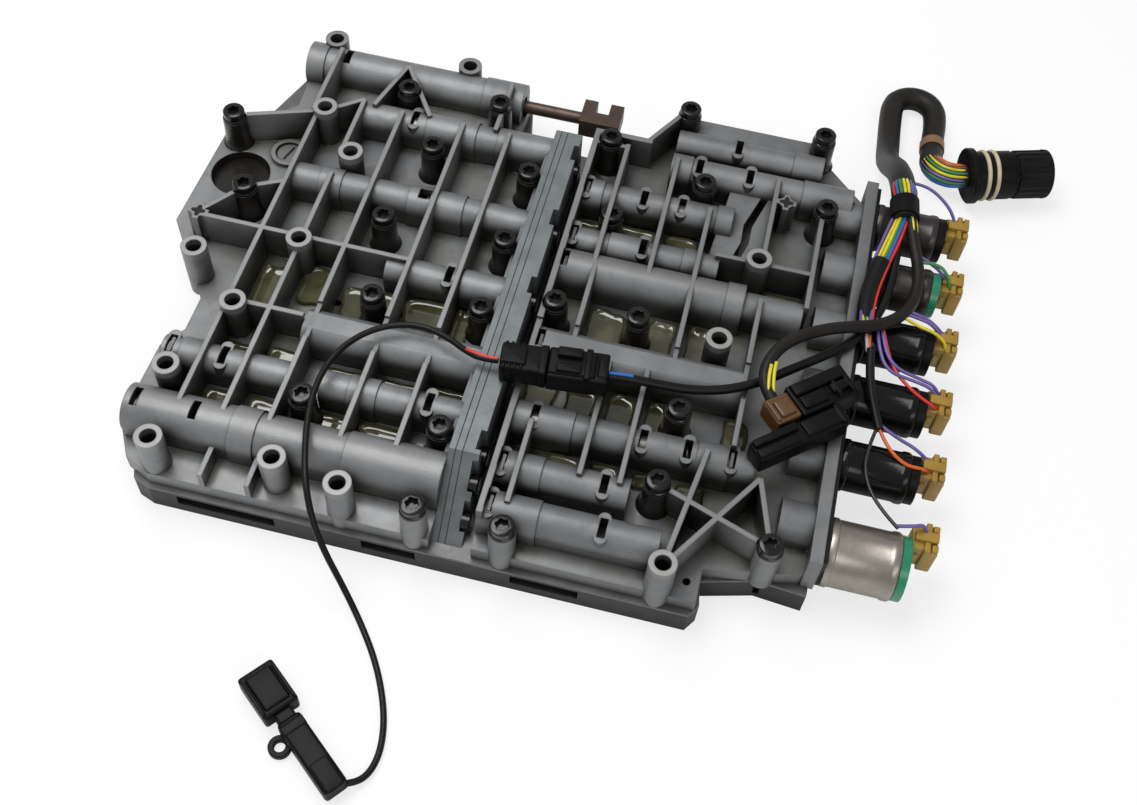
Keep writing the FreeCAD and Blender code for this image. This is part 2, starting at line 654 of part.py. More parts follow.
def hole_tools(side, tubes, screws, bottom):
    """Makes the cutters for the bolt holes and the screw holes."""
    tools = []
    for number, (x, y, top) in enumerate(tubes, start=1):
        name = "%s_bolt_hole_%d" % (side, number)
        tools.append(upright(name, x, y, (bottom + " - 1", top + " + 1"), "tube_hole"))
    for number, (x, y, seat) in enumerate(screws, start=1):
        name = "%s_screw_hole_%d" % (side, number)
        tools.append(upright(name, x, y, (bottom + " - 1", seat + " + 1"), "shank_radius + shank_clearance"))
        tools.append(upright(name + "_head", x, y, (seat, seat + " + head_height"),
                             "collar_radius + shank_clearance"))
    return tools


def bore_tools(side, bores, slots):
    """Makes the cutters for the bores and for the slots that open into them from above."""
    tools = []
    for number, (first, last, row) in enumerate(bores, start=1):
        tools.append(lengthwise("%s_bore_%d" % (side, number), (first, last), row, AXIS, "bore_radius"))
    for number, (x, row) in enumerate(slots, start=1):
        tools.append(block("%s_slot_%d" % (side, number),
                           ("%s - slot_width / 2" % x, "%s + slot_width / 2" % x),
                           ("%s - slot_length / 2" % row, "%s + slot_length / 2" % row),
                           (AXIS, AXIS + " + ridge_front + 1")))
    return tools


def flat_top_tool(name, first, last, row):
    """Cuts the crest of a wide ridge level."""
    return block(name, (first, last), ("%s - ridge_flat" % row, "%s + ridge_flat" % row),
                 (FLOOR + " + flat_top_height", FLOOR + " + flat_top_height + ridge_flat"))


def make_left_housing():
    """Ribbed casting with seven rows of bores, the round pocket and the date disc's ring."""
    solids = [padded("left_deck", LEFT_OUTLINE, (DECK, FLOOR))]
    solids += ridge_solids("left", LEFT_RIDGES)
    solids += rib_solids("left", LEFT_RIBS, RIB_TOP)
    solids += rib_solids("front", FRONT_RIBS, FLOOR + " + rib_height / 2")
    solids += cross_rib_solids("left", LEFT_CROSS_RIBS)
    for number, (start, end) in enumerate(LEFT_SLANTED, start=1):
        solids.append(wall_between("left_slanted_%d" % number, start, end, (DECK, RIB_TOP)))
    solids += post_solids("left", LEFT_TUBES, LEFT_SCREWS)
    solids += star_solids("left_star_boss", "left_end + 18", "-4")
    solids += slot_rims("left", LEFT_SLOTS)
    solids.append(upright("disc_ring", "column_1 - 12", "61", (DECK, FLOOR + " + ring_rise"), "ring_radius"))
    solids.append(block("cover_flange", ("cover_left - wall", "cover_left"), ("left_row_7", "cover_back"),
                        (DECK, FLOOR + " + cover_flange_height")))
    casting = joined("left_casting", solids)
    tools = hole_tools("left", LEFT_TUBES, LEFT_SCREWS, DECK)
    tools += bore_tools("left", LEFT_BORES, LEFT_SLOTS)
    tools.append(lengthwise("manual_bore", ("column_1 - 12", "column_5"), "left_row_1", MANUAL_AXIS,
                            "bore_radius"))
    tools.append(block("manual_slot", ("column_1 - slot_width / 2", "column_1 + slot_width / 2"),
                       ("left_row_1 - slot_length / 2", "left_row_1 + slot_length / 2"),
                       (MANUAL_AXIS, MANUAL_AXIS + " + ridge_manual + 1")))
    tools.append(block("view_window", ("column_4 - 5.5 - window_size / 2", "column_4 - 5.5 + window_size / 2"),
                       ("left_row_3 - window_size / 2", "left_row_3 + window_size / 2"),
                       (AXIS, AXIS + " + ridge_medium + 1")))
    tools.append(flat_top_tool("left_flat_top", "column_3 - 5", "cover_left + 1", "left_row_5"))
    tools.append(upright("disc_recess", "column_1 - 12", "61",
                         (FLOOR + " + ring_rise / 2", FLOOR + " + 2 * ring_rise"), "ring_radius - rib_thick"))
    through_deck = (DECK + " - 1", FLOOR + " + 1")
    tools.append(upright("left_small_hole", "column_3 + 2", "-27", through_deck, "small_hole"))
    mouth = upright("pocket_mouth", "left_end + 20", "41.5", (DECK + " + wall", FLOOR + " + 1"), "pocket_radius")
    post = upright("pocket_post", "left_end + 34", "17.5", (DECK, FLOOR + " + 2"), "standoff_radius + 1")
    pocket = carved("round_pocket", mouth, [post])
    tools.append(pocket)
    return carved("left_housing", casting, tools)


def make_right_housing():
    """Ribbed casting with nine rows of bores, the solenoid seats and their flange."""
    solids = [padded("right_deck", RIGHT_OUTLINE, (DECK, FLOOR))]
    solids += ridge_solids("right", RIGHT_RIDGES)
    solids += rib_solids("right", RIGHT_RIBS, RIB_TOP)
    solids += cross_rib_solids("right", RIGHT_CROSS_RIBS)
    for number, (start, end) in enumerate(RIGHT_SLANTED, start=1):
        solids.append(wall_between("right_slanted_%d" % number, start, end, (DECK, RIB_TOP)))
    solids += post_solids("right", RIGHT_TUBES, RIGHT_SCREWS)
    solids += star_solids("right_star_boss", "column_9 + 6", "83.5")
    solids += slot_rims("right", RIGHT_SLOTS)
    solids.append(padded("channel_left", CHANNEL_LEFT, (DECK, FLOOR + " + plateau_height")))
    solids.append(padded("channel_right", CHANNEL_RIGHT, (DECK, FLOOR + " + plateau_height")))
    solids.append(block("left_rim", ("right_wall", "right_wall + wall"), ("front_edge + 12", "108"),
                        (DECK, RIB_TOP)))
    solids.append(block("back_rim", ("right_wall", "column_6 + 12"), ("108 - wall", "108"), (DECK, RIB_TOP)))
    solids.append(wall_between("back_corner", ("column_6 + 10", "107"), ("column_7 - 4", "131"),
                               (DECK, RIB_TOP)))
    solids.append(block("back_shelf", ("column_7", "column_9 + 20"), ("right_row_1", "back_edge - 5"),
                        (DECK, FLOOR + " + shelf_height")))
    solids.append(block("solenoid_flange", ("flange_left", FLANGE_RIGHT), ("flange_front", "flange_back"),
                        (DECK, FLANGE_TOP)))
    for number in range(SOLENOIDS):
        solids.append(lengthwise("solenoid_seat_%d" % (number + 1), ("column_10 + 5", "flange_left + 1"),
                                 solenoid_row(number), SOLENOID_AXIS, "nose_radius + wall"))
    casting = joined("right_casting", solids)
    tools = hole_tools("right", RIGHT_TUBES, RIGHT_SCREWS, DECK)
    tools += bore_tools("right", RIGHT_BORES, RIGHT_SLOTS)
    tools.append(flat_top_tool("right_flat_top", "right_wall - 1", "column_9 + 5", "right_row_6"))
    through_deck = (DECK + " - 1", FLOOR + " + 1")
    tools.append(upright("right_small_hole", "column_9 + 7", "50.5", through_deck, "small_hole"))
    tools.append(upright("corner_small_hole", "column_9 - 4", "-133", through_deck, "small_hole"))
    for number in range(SOLENOIDS):
        tools.append(lengthwise("solenoid_bore_%d" % (number + 1),
                                (FLANGE_RIGHT + " - nose_length - seat_gap", FLANGE_RIGHT + " + 1"),
                                solenoid_row(number), SOLENOID_AXIS, "nose_radius + spool_clearance"))
    return carved("right_housing", casting, tools)


def make_lower_housing():
    """Lower casting, with a set-back foot and the threaded screw holes."""
    flange = padded("lower_flange", LOWER_OUTLINE, ("0", "lower_height"))
    tools = hole_tools("lower", LEFT_TUBES + RIGHT_TUBES, (), "0")
    for number, (x, y, seat) in enumerate(LEFT_SCREWS + RIGHT_SCREWS, start=1):
        tools.append(upright("thread_%d" % number, x, y, ("wall", "lower_height + 1"), "shank_radius"))
    recesses = (("column_1 + 6", "column_3 + 10"), ("column_4 + 18", "cover_left - 6"),
                ("column_6", "column_7 + 4"))
    for number, (first, last) in enumerate(recesses, start=1):
        tools.append(block("front_recess_%d" % number, (first, last),
                           ("front_edge - 1", "front_edge + lower_recess"),
                           ("lower_height - 2 * lower_step", "lower_height - 1.5")))
    return carved("lower_housing", flange, tools)


def make_separator_plate():
    """Steel plate between the housings, with the bolt and screw holes."""
    sheet_metal = padded("separator_blank", LOWER_OUTLINE, (PLATE, DECK))
    return carved("separator_plate", sheet_metal,
                  hole_tools("plate", LEFT_TUBES + RIGHT_TUBES, LEFT_SCREWS + RIGHT_SCREWS, PLATE))


# Screws of the end cover: row and level
COVER_SCREWS = (
    ("left_row_2 - 8", AXIS), ("left_row_3 - 2", AXIS), ("left_row_4 - 1", AXIS), ("left_row_6 - 18", AXIS),
    ("left_row_7 + 1", AXIS), ("left_row_7 - 12.5", DECK + " + cover_head + 2"),
)
COVER_PROFILE = (
    ("cover_toe", DECK), ("cover_back", DECK), ("cover_back", TUBE_TOP), ("cover_front", TUBE_TOP),
)
FIRST_GASKET = "cover_left + end_plate_thick"
SECOND_PLATE = "cover_left + end_plate_thick + gasket_thick"
SECOND_GASKET = "cover_left + 2 * end_plate_thick + gasket_thick"
COVER_FACE = "cover_left + 2 * end_plate_thick + 2 * gasket_thick"


def cover_layer(name, x, thick, notches=()):
    """One layer of the end cover: its side view, extruded along X, with the screw holes."""
    body, sketch = body_with_outline(name + "_blank", "YZ_Plane", COVER_PROFILE)
    pad = body.newObject("PartDesign::Pad", name + "_pad")
    pad.Profile = sketch
    tie(pad, "Length", thick)
    place(body, x, "0", "0")
    tools = list(notches)
    for number, (row, level) in enumerate(COVER_SCREWS, start=1):
        tools.append(lengthwise("%s_hole_%d" % (name, number), ("%s - 1" % x, "%s + %s + 1" % (x, thick)), row,
                                level, "cover_shank + shank_clearance"))
    return carved(name, body, tools)


def make_end_cover():
    """The stack that closes the left bores: two plates, two gaskets and the notched cover."""
    notches = []
    for number, (row, level) in enumerate(COVER_SCREWS, start=1):
        reach = "cover_head + clip_lift"
        notches.append(block("cover_notch_%d" % number, (COVER_RIGHT + " - cover_notch", COVER_RIGHT + " + 1"),
                             ("%s - (%s)" % (row, reach), "%s + (%s)" % (row, reach)),
                             ("%s - (%s)" % (level, reach), TUBE_TOP + " + 1")))
    layers = [cover_layer("inner_end_plate", "cover_left", "end_plate_thick"),
              cover_layer("outer_end_plate", SECOND_PLATE, "end_plate_thick"),
              cover_layer("end_cover", COVER_FACE, "cover_thick", notches)]
    gaskets = [cover_layer("first_gasket", FIRST_GASKET, "gasket_thick"),
               cover_layer("second_gasket", SECOND_GASKET, "gasket_thick")]
    return layers + [grouped("end_gaskets", gaskets)]


def screw_master(name, standoff):
    """One housing screw, head first along X: round socket, chamfered head, collar and shank."""
    tip = "head_height + %s + deck_thick + plate_thick + lower_height - wall - thread_gap" % standoff
    return turned(name, (
        ("socket_depth", "0"), ("socket_depth", "socket_radius"), ("0", "socket_radius"),
        ("0", "head_radius - head_chamfer"), ("head_chamfer", "head_radius"),
        ("head_height - collar_height", "head_radius"), ("head_height - collar_height", "collar_radius"),
        ("head_height", "collar_radius"), ("head_height", "shank_radius"), (tip, "shank_radius"), (tip, "0"),
    ), "0", "0", "0")


def make_housing_screws():
    """The screws that hold both upper castings to the lower housing."""
    tall = screw_master("screw_master", "standoff_height")
    short = screw_master("short_screw_master", "low_standoff")
    head_down = Rotation(Vector(0, 1, 0), 90)
    copies = []
    for x, y, seat in LEFT_SCREWS + RIGHT_SCREWS:
        head_top = Vector(measure(x), measure(y), measure(seat) + S.head_height)
        copies.append((short if seat == LOW_SEAT else tall, Placement(head_top, head_down)))
    return repeated("housing_screws", copies)


def make_cover_screws():
    """Small horizontal screws that clamp the end cover, with their heads in its notches."""
    reach = "cover_thick - cover_notch + 2 * end_plate_thick + 2 * gasket_thick"
    master = turned("cover_screw_master", (
        ("cover_head_height", "0"), ("cover_head_height", "cover_head - head_chamfer"),
        ("cover_head_height - head_chamfer", "cover_head"), ("0", "cover_head"), ("0", "cover_shank"),
        ("-(%s)" % reach, "cover_shank"), ("-(%s)" % reach, "0"),
    ), "0", "0", "0")
    seat = cover_right - S.cover_notch
    return repeated("end_cover_screws", [
        (master, Placement(Vector(seat, measure(row), measure(level)), Rotation())) for row, level in COVER_SCREWS])


def make_retaining_strip():
    """Black strip on the cover's flank, below the screw heads."""
    return block("retaining_strip", (COVER_RIGHT, COVER_RIGHT + " + strip_thick"),
                 ("left_row_7", "cover_back - 2 * wall"), (DECK, AXIS + " - cover_head - wall"))


def make_plugs_and_clips():
    """Bore plugs, each held by a flat clip that stands in the end slot."""
    plugs = []
    clips = []
    for number, (x, row) in enumerate(CLIPPED, start=1):
        inward = -1 if row == "right_row_7" else 1
        near = "%s + %d * clip_thick / 2" % (x, inward)
        far = "%s + %d * (clip_thick / 2 + plug_length)" % (x, inward)
        span = (near, far) if inward > 0 else (far, near)
        plugs.append(lengthwise("bore_plug_%d" % number, span, row, AXIS, LAND_RADIUS))
        clips.append(block("clip_%d" % number, ("%s - clip_thick / 2" % x, "%s + clip_thick / 2" % x),
                           ("%s - slot_length / 2 + clip_lift" % row, "%s + slot_length / 2 - clip_lift" % row),
                           (AXIS + " - bore_radius / 2", AXIS + " + bore_radius + clip_lift")))
    return [grouped("bore_plugs", plugs), grouped("retainer_clips", clips)]


# Spool valves: name, both ends of the chamber, row, number of lands, True where the spring is on the right
VALVES = (
    ("shift", "column_2 + 6", "cover_left", "left_row_2", 4, True),
    ("pressure", "column_1 + 6", "cover_left", "left_row_3", 5, True),
    ("clutch", "column_3 + 8", "cover_left", "left_row_7", 3, True),
    ("converter", "right_wall + 4.5 + clip_thick / 2 + plug_length", "column_8 + 7", "right_row_3", 3, False),
    ("brake", "column_6 - 10", "column_9 + 4.5 - clip_thick / 2 - plug_length", "right_row_7", 3, True),
)
SPRING_RUNS = 12


def land_profile(lands, land, neck):
    """Half section of a spool: full lands with thinner necks between them."""
    profile = [("0", "0")]
    for number in range(lands):
        start = "%d * (%s + %s)" % (number, land, neck)
        end = "%s + %s" % (start, land)
        profile += [(start, LAND_RADIUS), (end, LAND_RADIUS)]
        if number < lands - 1:
            profile += [(end, "spool_neck"), ("%s + %s" % (end, neck), "spool_neck")]
    return profile


def make_valves():
    """Turned spools in their bores, and the coil springs behind them."""
    made = []
    for name, low, high, row, lands, spring_right in VALVES:
        length = "((%s) - (%s) - seat_gap - spring_room)" % (high, low)
        neck = "((%s - %d * spool_land) / %d)" % (length, lands, lands - 1)
        start = "%s + seat_gap" % low if spring_right else "%s + spring_room" % low
        profile = land_profile(lands, "spool_land", neck) + [(length, "0")]
        made.append(turned(name + "_spool", profile, start, row, AXIS))
        spring_start = measure(high) - S.spring_room if spring_right else measure(low)
        made.append(make_spring(name + "_spring", spring_start + S.seat_gap, measure(row)))
    return made


def make_spring(name, start, row):
    """Coil spring along X: a round wire along short straight runs that follow a helix."""
    rise = S.spring_room - 2 * S.seat_gap - 4 * S.spring_wire
    coil_radius = S.bore_radius - S.spring_clearance - S.spring_wire
    corners = []
    for step in range(int(S.spring_turns * SPRING_RUNS) + 1):
        angle = 2 * math.pi * step / SPRING_RUNS
        corners.append(Vector(coil_radius * math.cos(angle), coil_radius * math.sin(angle),
                              rise * step / (S.spring_turns * SPRING_RUNS)))
    section = Part.Wire(Part.makeCircle(S.spring_wire, corners[0], corners[1] - corners[0]))
    spring = fixed(name, Part.makePolygon(corners).makePipeShell([section], True, False, 1))
    turn = Rotation(Vector(0, 1, 0), 90)
    spring.Placement = Placement(Vector(start + 2 * S.spring_wire, row, axis_level), turn)
    return spring


def make_manual_valve():
    """Manual valve: three lands, a rod that leaves the bore, and a hook for the lever's pin."""
    length = "(3 * manual_land + 2 * manual_neck)"
    profile = land_profile(3, "manual_land", "manual_neck")
    profile += [(length, "rod_radius"), (length + " + rod_length", "rod_radius"), (length + " + rod_length", "0")]
    start = "column_5 - manual_reach"
    stem = turned("manual_stem", profile, start, "left_row_1", MANUAL_AXIS)
    hook_left = "%s + %s + rod_length - hook_overlap" % (start, length)
    hook_floor = MANUAL_AXIS + " - rod_radius - 1"
    hook = block("hook_block", (hook_left, hook_left + " + hook_length"),
                 ("left_row_1 - hook_width / 2", "left_row_1 + hook_width / 2"),
                 (hook_floor, hook_floor + " + hook_height"))
    notch = block("hook_notch", (hook_left + " + hook_length / 3", hook_left + " + 2 * hook_length / 3"),
                  ("left_row_1", "left_row_1 + hook_width / 2 + 1"),
                  (hook_floor + " - 1", hook_floor + " + hook_height + 1"))
    return carved("manual_valve", joined("manual_blank", [stem, hook]), [notch])


def make_solenoid_retainer():
    """Black plate on the flange, with a hole round each nose."""
    plate = block("retainer_blank", (FLANGE_RIGHT, CAN_LEFT), ("flange_front + 2", "flange_back - 2"),
                  (DECK + " + 1", FLANGE_TOP + " - 2"))
    holes = []
    for number in range(SOLENOIDS):
        holes.append(lengthwise("retainer_hole_%d" % (number + 1), (FLANGE_RIGHT + " - 1", CAN_LEFT + " + 1"),
                                solenoid_row(number), SOLENOID_AXIS, "nose_radius + spool_clearance"))
    return carved("solenoid_retainer", plate, holes)


def make_solenoids():
    """Six solenoids with a nose in the flange, a can, an end cap and a plug each; the sixth is larger."""
    made = []
    black_caps = []
    green_caps = []
    for number in range(SOLENOIDS):
        large = number == SOLENOIDS - 1
        row = solenoid_row(number)
        can_row = row + " - big_can_forward" if large else row
        can_axis = SOLENOID_AXIS + " - big_can_drop" if large else SOLENOID_AXIS
        can_radius = "big_can_radius" if large else "can_radius"
        can = lengthwise("can_%d" % (number + 1), (CAN_LEFT, CAN_RIGHT), can_row, can_axis, can_radius)
        nose = lengthwise("nose_%d" % (number + 1), (FLANGE_RIGHT + " - nose_length", CAN_LEFT + " + 1"), row,
                          SOLENOID_AXIS, "nose_radius")
        made.append(joined("solenoid_%d" % (number + 1), [can, nose]))
        cap = lengthwise("end_cap_%d" % (number + 1), (CAN_RIGHT, PLUG_LEFT), can_row, can_axis,
                         can_radius + " - 1")
        if number == 1 or large:
            green_caps.append(cap)
        else:
            black_caps.append(cap)
        made.append(make_solenoid_plug("solenoid_plug_%d" % (number + 1), row + " + plug_shift"))
    return made + [grouped("black_end_caps", black_caps), grouped("green_end_caps", green_caps)]


def make_solenoid_plug(name, row):
    """Plug on the end of a solenoid: a body, a taller outer flange, a latch and the leads' opening."""
    middle = PLUG_LEFT + " + plug_thick / 2"
    half = "plug_height / 2"
    shell = block(name + "_shell", (PLUG_LEFT, middle),
                  ("%s - plug_width / 2 + plug_step" % row, "%s + plug_width / 2 - plug_step" % row),
                  (SOLENOID_AXIS + " - %s + plug_step" % half, SOLENOID_AXIS + " + %s - plug_step" % half))
    flange = block(name + "_flange", (middle, PLUG_LEFT + " + plug_thick"),
                   ("%s - plug_width / 2" % row, "%s + plug_width / 2" % row),
                   (SOLENOID_AXIS + " - plug_height / 2", SOLENOID_AXIS + " + plug_height / 2"))
    latch = block(name + "_latch", (PLUG_LEFT + " + 1", PLUG_LEFT + " + plug_thick"),
                  ("%s - plug_latch / 2" % row, "%s + plug_latch / 2" % row),
                  (SOLENOID_AXIS, SOLENOID_AXIS + " + plug_height / 2 + plug_step"))
    opening = block(name + "_opening", (PLUG_LEFT + " + plug_thick * 3 / 4", PLUG_LEFT + " + plug_thick + 1"),
                    ("%s - plug_width / 4" % row, "%s + plug_width / 4" % row),
                    (SOLENOID_AXIS + " - plug_height / 4", SOLENOID_AXIS + " + plug_height / 4"))
    return carved(name, joined(name + "_body", [shell, flange, latch]), [opening])


# Wiring. Each route is a list of points chosen by hand, from the plug or band at one end to the other
LEAD_ROUTE = (
    (-11.9, -59.7, 53.3), (-20.0, -60.6, 53.0), (-28.5, -57.0, 51.4), (-39.0, -50.5, 49.6), (-53.0, -46.5, 48.9),
    (-68.0, -50.5, 48.8), (-80.0, -60.5, 48.8), (-87.5, -75.0, 48.8), (-89.5, -92.0, 48.8),
    (-87.0, -110.0, 48.8), (-82.0, -127.5, 48.8), (-76.5, -142.5, 47.0), (-70.0, -154.5, 38.5),
    (-63.5, -161.0, 26.0), (-57.0, -165.5, 13.5), (-50.0, -171.5, 4.6), (-41.5, -181.0, 1.7),
    (-32.0, -193.5, 1.6), (-24.0, -207.5, 1.6), (-18.5, -221.5, 1.6), (-16.5, -234.5, 1.6), (-18.5, -244.5, 2.2),
    (-24.0, -250.0, 4.0), (-30.0, -252.0, 5.6),
)
LINK_ROUTE = (
    (38.9, -54.4, 53.3), (49.0, -52.6, 52.2), (63.0, -50.3, 49.2), (79.0, -47.6, 46.9), (95.0, -42.0, 46.1),
    (109.5, -33.0, 46.0), (121.5, -21.5, 44.6), (133.5, -10.5, 43.1), (144.5, 0.0, 42.8), (153.0, 11.5, 42.4),
    (158.5, 24.0, 42.2), (161.5, 37.0, 42.0), (162.8, 50.0, 42.2), (163.2, 62.0, 43.8), (162.9, 72.8, 45.6),
    (161.6, 83.7, 46.4),
)
BRANCH_ROUTE = (
    (114.9, -45.5, 50.3), (110.2, -40.0, 51.2), (108.6, -31.5, 53.0), (111.0, -22.0, 54.0), (117.0, -12.5, 53.8),
    (126.0, -4.5, 52.8), (136.5, 2.5, 51.2), (147.5, 8.0, 49.4), (158.0, 13.5, 46.8), (168.0, 22.5, 44.6),
    (174.0, 34.0, 43.2), (176.0, 47.0, 43.0), (174.5, 60.0, 43.8), (170.0, 72.5, 46.6), (167.4, 84.3, 48.4),
)
LOOM_ROUTE = (
    (164.5, 84.0, 47.4), (163.0, 98.0, 47.4), (161.0, 113.0, 45.6), (159.0, 128.0, 38.0), (157.2, 143.0, 25.5),
    (156.0, 159.0, 13.0), (156.4, 177.0, 7.2), (155.6, 196.0, 6.6), (155.5, 212.1, 6.6), (160.3, 218.6, 6.6),
    (168.0, 221.1, 6.6), (175.7, 218.6, 6.6), (180.5, 212.1, 6.6), (181.4, 200.0, 6.7), (180.9, 187.0, 7.3),
    (181.0, 175.5, 9.4), (180.5, 165.0, 12.2), (183.2, 159.6, 13.8), (188.1, 156.1, 15.0), (194.0, 155.2, 15.8),
    (199.7, 157.0, 16.0),
)


def route_path(points):
    """Straight runs joined by tangent arcs, each as large as its two runs allow."""
    corners = [Vector(*point) for point in points]
    edges = []
    radii = []
    start = corners[0]
    for before, corner, after in zip(corners, corners[1:], corners[2:]):
        inward = Vector(corner - before).normalize()
        outward = Vector(after - corner).normalize()
        half_turn = inward.getAngle(outward) / 2
        set_back = 0.45 * min((corner - before).Length, (after - corner).Length)
        radii.append(set_back / math.tan(half_turn))
        first = corner - inward * set_back
        last = corner + outward * set_back
        bulge = radii[-1] * (1 / math.cos(half_turn) - 1)
        middle = corner + Vector(outward - inward).normalize() * bulge
        edges.append(Part.LineSegment(start, first).toShape())
        edges.append(Part.Arc(first, middle, last).toShape())
        start = last
    edges.append(Part.LineSegment(start, corners[-1]).toShape())
    return Part.Wire(edges), radii


def make_cord(name, points, diameter):
    """A plain round tube along a route."""
    path, radii = route_path(points)
    heading = Vector(*points[1]) - Vector(*points[0])
    section = Part.Wire(Part.makeCircle(diameter / 2, Vector(*points[0]), heading))
    tube = path.makePipeShell([section], True, False, 2)
    expected = math.pi * diameter ** 2 / 4 * path.Length
    print("%s: length %.1f, radii %.1f to %.1f, volume %.4f of the expected" % (
        name, path.Length, min(radii), max(radii), tube.Volume / expected))
    return fixed(name, tube)


def make_wiring():
    """The sensor lead, the link lead, the branch loom and the main loom."""
    return [make_cord("sensor_lead", LEAD_ROUTE, S.lead_diameter),
            make_cord("link_lead", LINK_ROUTE, S.link_diameter),
            make_cord("branch_loom", BRANCH_ROUTE, S.branch_diameter),
            make_cord("main_loom", LOOM_ROUTE, S.loom_diameter)]


# Where the loose connectors lie: x and y of their corner or middle, and their turn in the plan
INLINE_SPOT = (14.0, -57.0)
INLINE_TURN = 6.0
SWITCH_SPOT = (130.0, -52.2)
SOCKET_SPOT = (115.0, -80.5)
BLOCK_TURN = 41.0
SENSOR_SPOT = (-78.5, -214.5)
SENSOR_TURN = -38.5
CONNECTOR_TURN = 18.0


def laid(item, x, y, z, turn):
    """Turns a finished connector in the plan and sets it down."""
    item.Placement = Placement(Vector(x, y, z), Rotation(Vector(0, 0, 1), turn))
    return item


def make_inline_pair():
    """The in-line plug and socket that lie across the end cover."""
    half = "inline_length / 2"
    side = "inline_width / 2"
    plug = joined("inline_plug", [
        block("inline_plug_body", ("-(%s)" % half, "-inline_joint"), ("1 - %s" % side, side + " - 1"),
              ("0", "inline_height")),
        block("inline_plug_grip", ("-(%s)" % half, "-%s / 3" % half), ("3 - %s" % side, side + " - 3"),
              ("inline_height - 1", "inline_height + 1.5"))])
    socket = joined("inline_socket", [
        block("inline_socket_body", ("-inline_joint", half), ("-(%s)" % side, side), ("0", "inline_height + 1")),
        block("inline_socket_latch", ("0", "%s / 2" % half), ("1", side + " - 2"),
              ("inline_height", "inline_height + inline_latch"))])
    doc.recompute()
    for item in (plug, socket):
        laid(item, *INLINE_SPOT, measure(TUBE_TOP) + S.seat_gap, INLINE_TURN)
    return [plug, socket]


def make_loom_connectors():
    """The switch block and the socket block beside the solenoids, and the amber plug."""
    switch = joined("switch_block", [
        block("switch_body", ("0", "switch_length"), ("0", "switch_width"), ("0", "switch_height - 2")),
        block("switch_step", ("2", "switch_length / 2"), ("2", "switch_width - 3"), ("1", "switch_height")),
        block("switch_latch", ("switch_length * 0.6", "switch_length - 3"), ("4", "switch_width - 5"),
              ("1", "switch_height + 1"))])
    socket = joined("socket_block", [
        block("socket_body", ("0", "socket_length"), ("0", "socket_width"), ("0", "socket_height - 2")),
        block("socket_rail", ("1", "socket_length / 2"), ("socket_width / 2", "socket_width - 1"),
              ("1", "socket_height"))])
    amber = joined("amber_plug", [
        block("amber_body", ("-amber_length", "0"), ("1", "amber_width + 1"), ("2", "amber_height + 2")),
        block("amber_grip", ("3 - amber_length", "-2"), ("3", "amber_width - 2"), ("3", "amber_height + 4"))])
    doc.recompute()
    laid(switch, *SWITCH_SPOT, measure(FLANGE_TOP) + S.seat_gap, BLOCK_TURN)
    laid(amber, *SWITCH_SPOT, measure(FLANGE_TOP) + S.seat_gap, BLOCK_TURN)
    laid(socket, *SOCKET_SPOT, measure(AXIS) + S.ridge_medium + S.seat_gap, BLOCK_TURN)
    return [switch, socket, amber]


def make_speed_sensor():
    """Speed sensor on the ground: a wide head, a waist, a slim body and a mounting eyelet."""
    waist = "sensor_head + wall"
    end = waist + " + sensor_body"
    solids = [
        block("sensor_head_block", ("0", "sensor_head"), ("-sensor_width / 2", "sensor_width / 2"),
              ("0", "sensor_height")),
        block("sensor_waist", ("sensor_head - 1", waist + " + 1"), ("-sensor_width / 4", "sensor_width / 4"),
              ("0", "sensor_height - wall")),
        block("sensor_stem", (waist, end), ("-sensor_width / 3", "sensor_width / 3"), ("0", "sensor_height - 1")),
        upright("sensor_eyelet", waist + " + 6", "-(sensor_width / 3 + eyelet_radius - 2)", ("0", "wall"),
                "eyelet_radius"),
    ]
    hole = upright("sensor_eyelet_hole", waist + " + 6", "-(sensor_width / 3 + eyelet_radius - 2)",
                   ("-1", "wall + 1"), "eyelet_radius / 2")
    sensor = carved("speed_sensor", joined("sensor_blank", solids), [hole])
    doc.recompute()
    return laid(sensor, *SENSOR_SPOT, 0.0, SENSOR_TURN)


def make_bulkhead_connector():
    """Round connector at the loom's end: flange, ringed barrel and shell, with its seal rings."""
    groove = "connector_flange + 3"
    second = groove + " + 2 * ring_thick"
    end = "connector_length"
    profile = [("0", "0"), ("0", "connector_radius"), ("connector_flange", "connector_radius"),
               ("connector_flange", "connector_barrel")]
    for start in (groove, second):
        close = start + " + ring_thick"
        profile += [(start, "connector_barrel"), (start, "connector_barrel - ring_depth"),
                    (close, "connector_barrel - ring_depth"), (close, "connector_barrel")]
    profile += [(end, "connector_barrel"), (end, "connector_barrel - socket_wall"),
                (end + " - mouth_depth", "connector_barrel - socket_wall"), (end + " - mouth_depth", "0")]
    shell = turned("bulkhead_connector", profile, "0", "0", "0")
    rings = []
    for number, start in enumerate((groove, second), start=1):
        close = start + " + ring_thick"
        rings.append(turned("seal_ring_%d" % number, (
            (start, "connector_barrel - ring_depth"), (start, "connector_barrel + ring_proud"),
            (close, "connector_barrel + ring_proud"), (close, "connector_barrel - ring_depth"),
        ), "0", "0", "0"))
    pair = grouped("connector_rings", rings)
    start_x, start_y, _ = LOOM_ROUTE[-1]
    for item in (shell, pair):
        for axis in ("x", "y", "z"):
            item.setExpression("Placement.Base." + axis, None)
        laid(item, start_x, start_y, S.connector_radius, CONNECTOR_TURN)
    return [shell, pair]


def sleeve(name, centre, heading, inner, outer, length):
    """Ring round a loom, centred on a point of its route."""
    start = Vector(*centre) - Vector(heading).normalize() * (length / 2)
    shape = Part.makeCylinder(outer, length, start, heading).cut(
        Part.makeCylinder(inner, length + 2, start - Vector(heading).normalize(), heading))
    return fixed(name, shape)


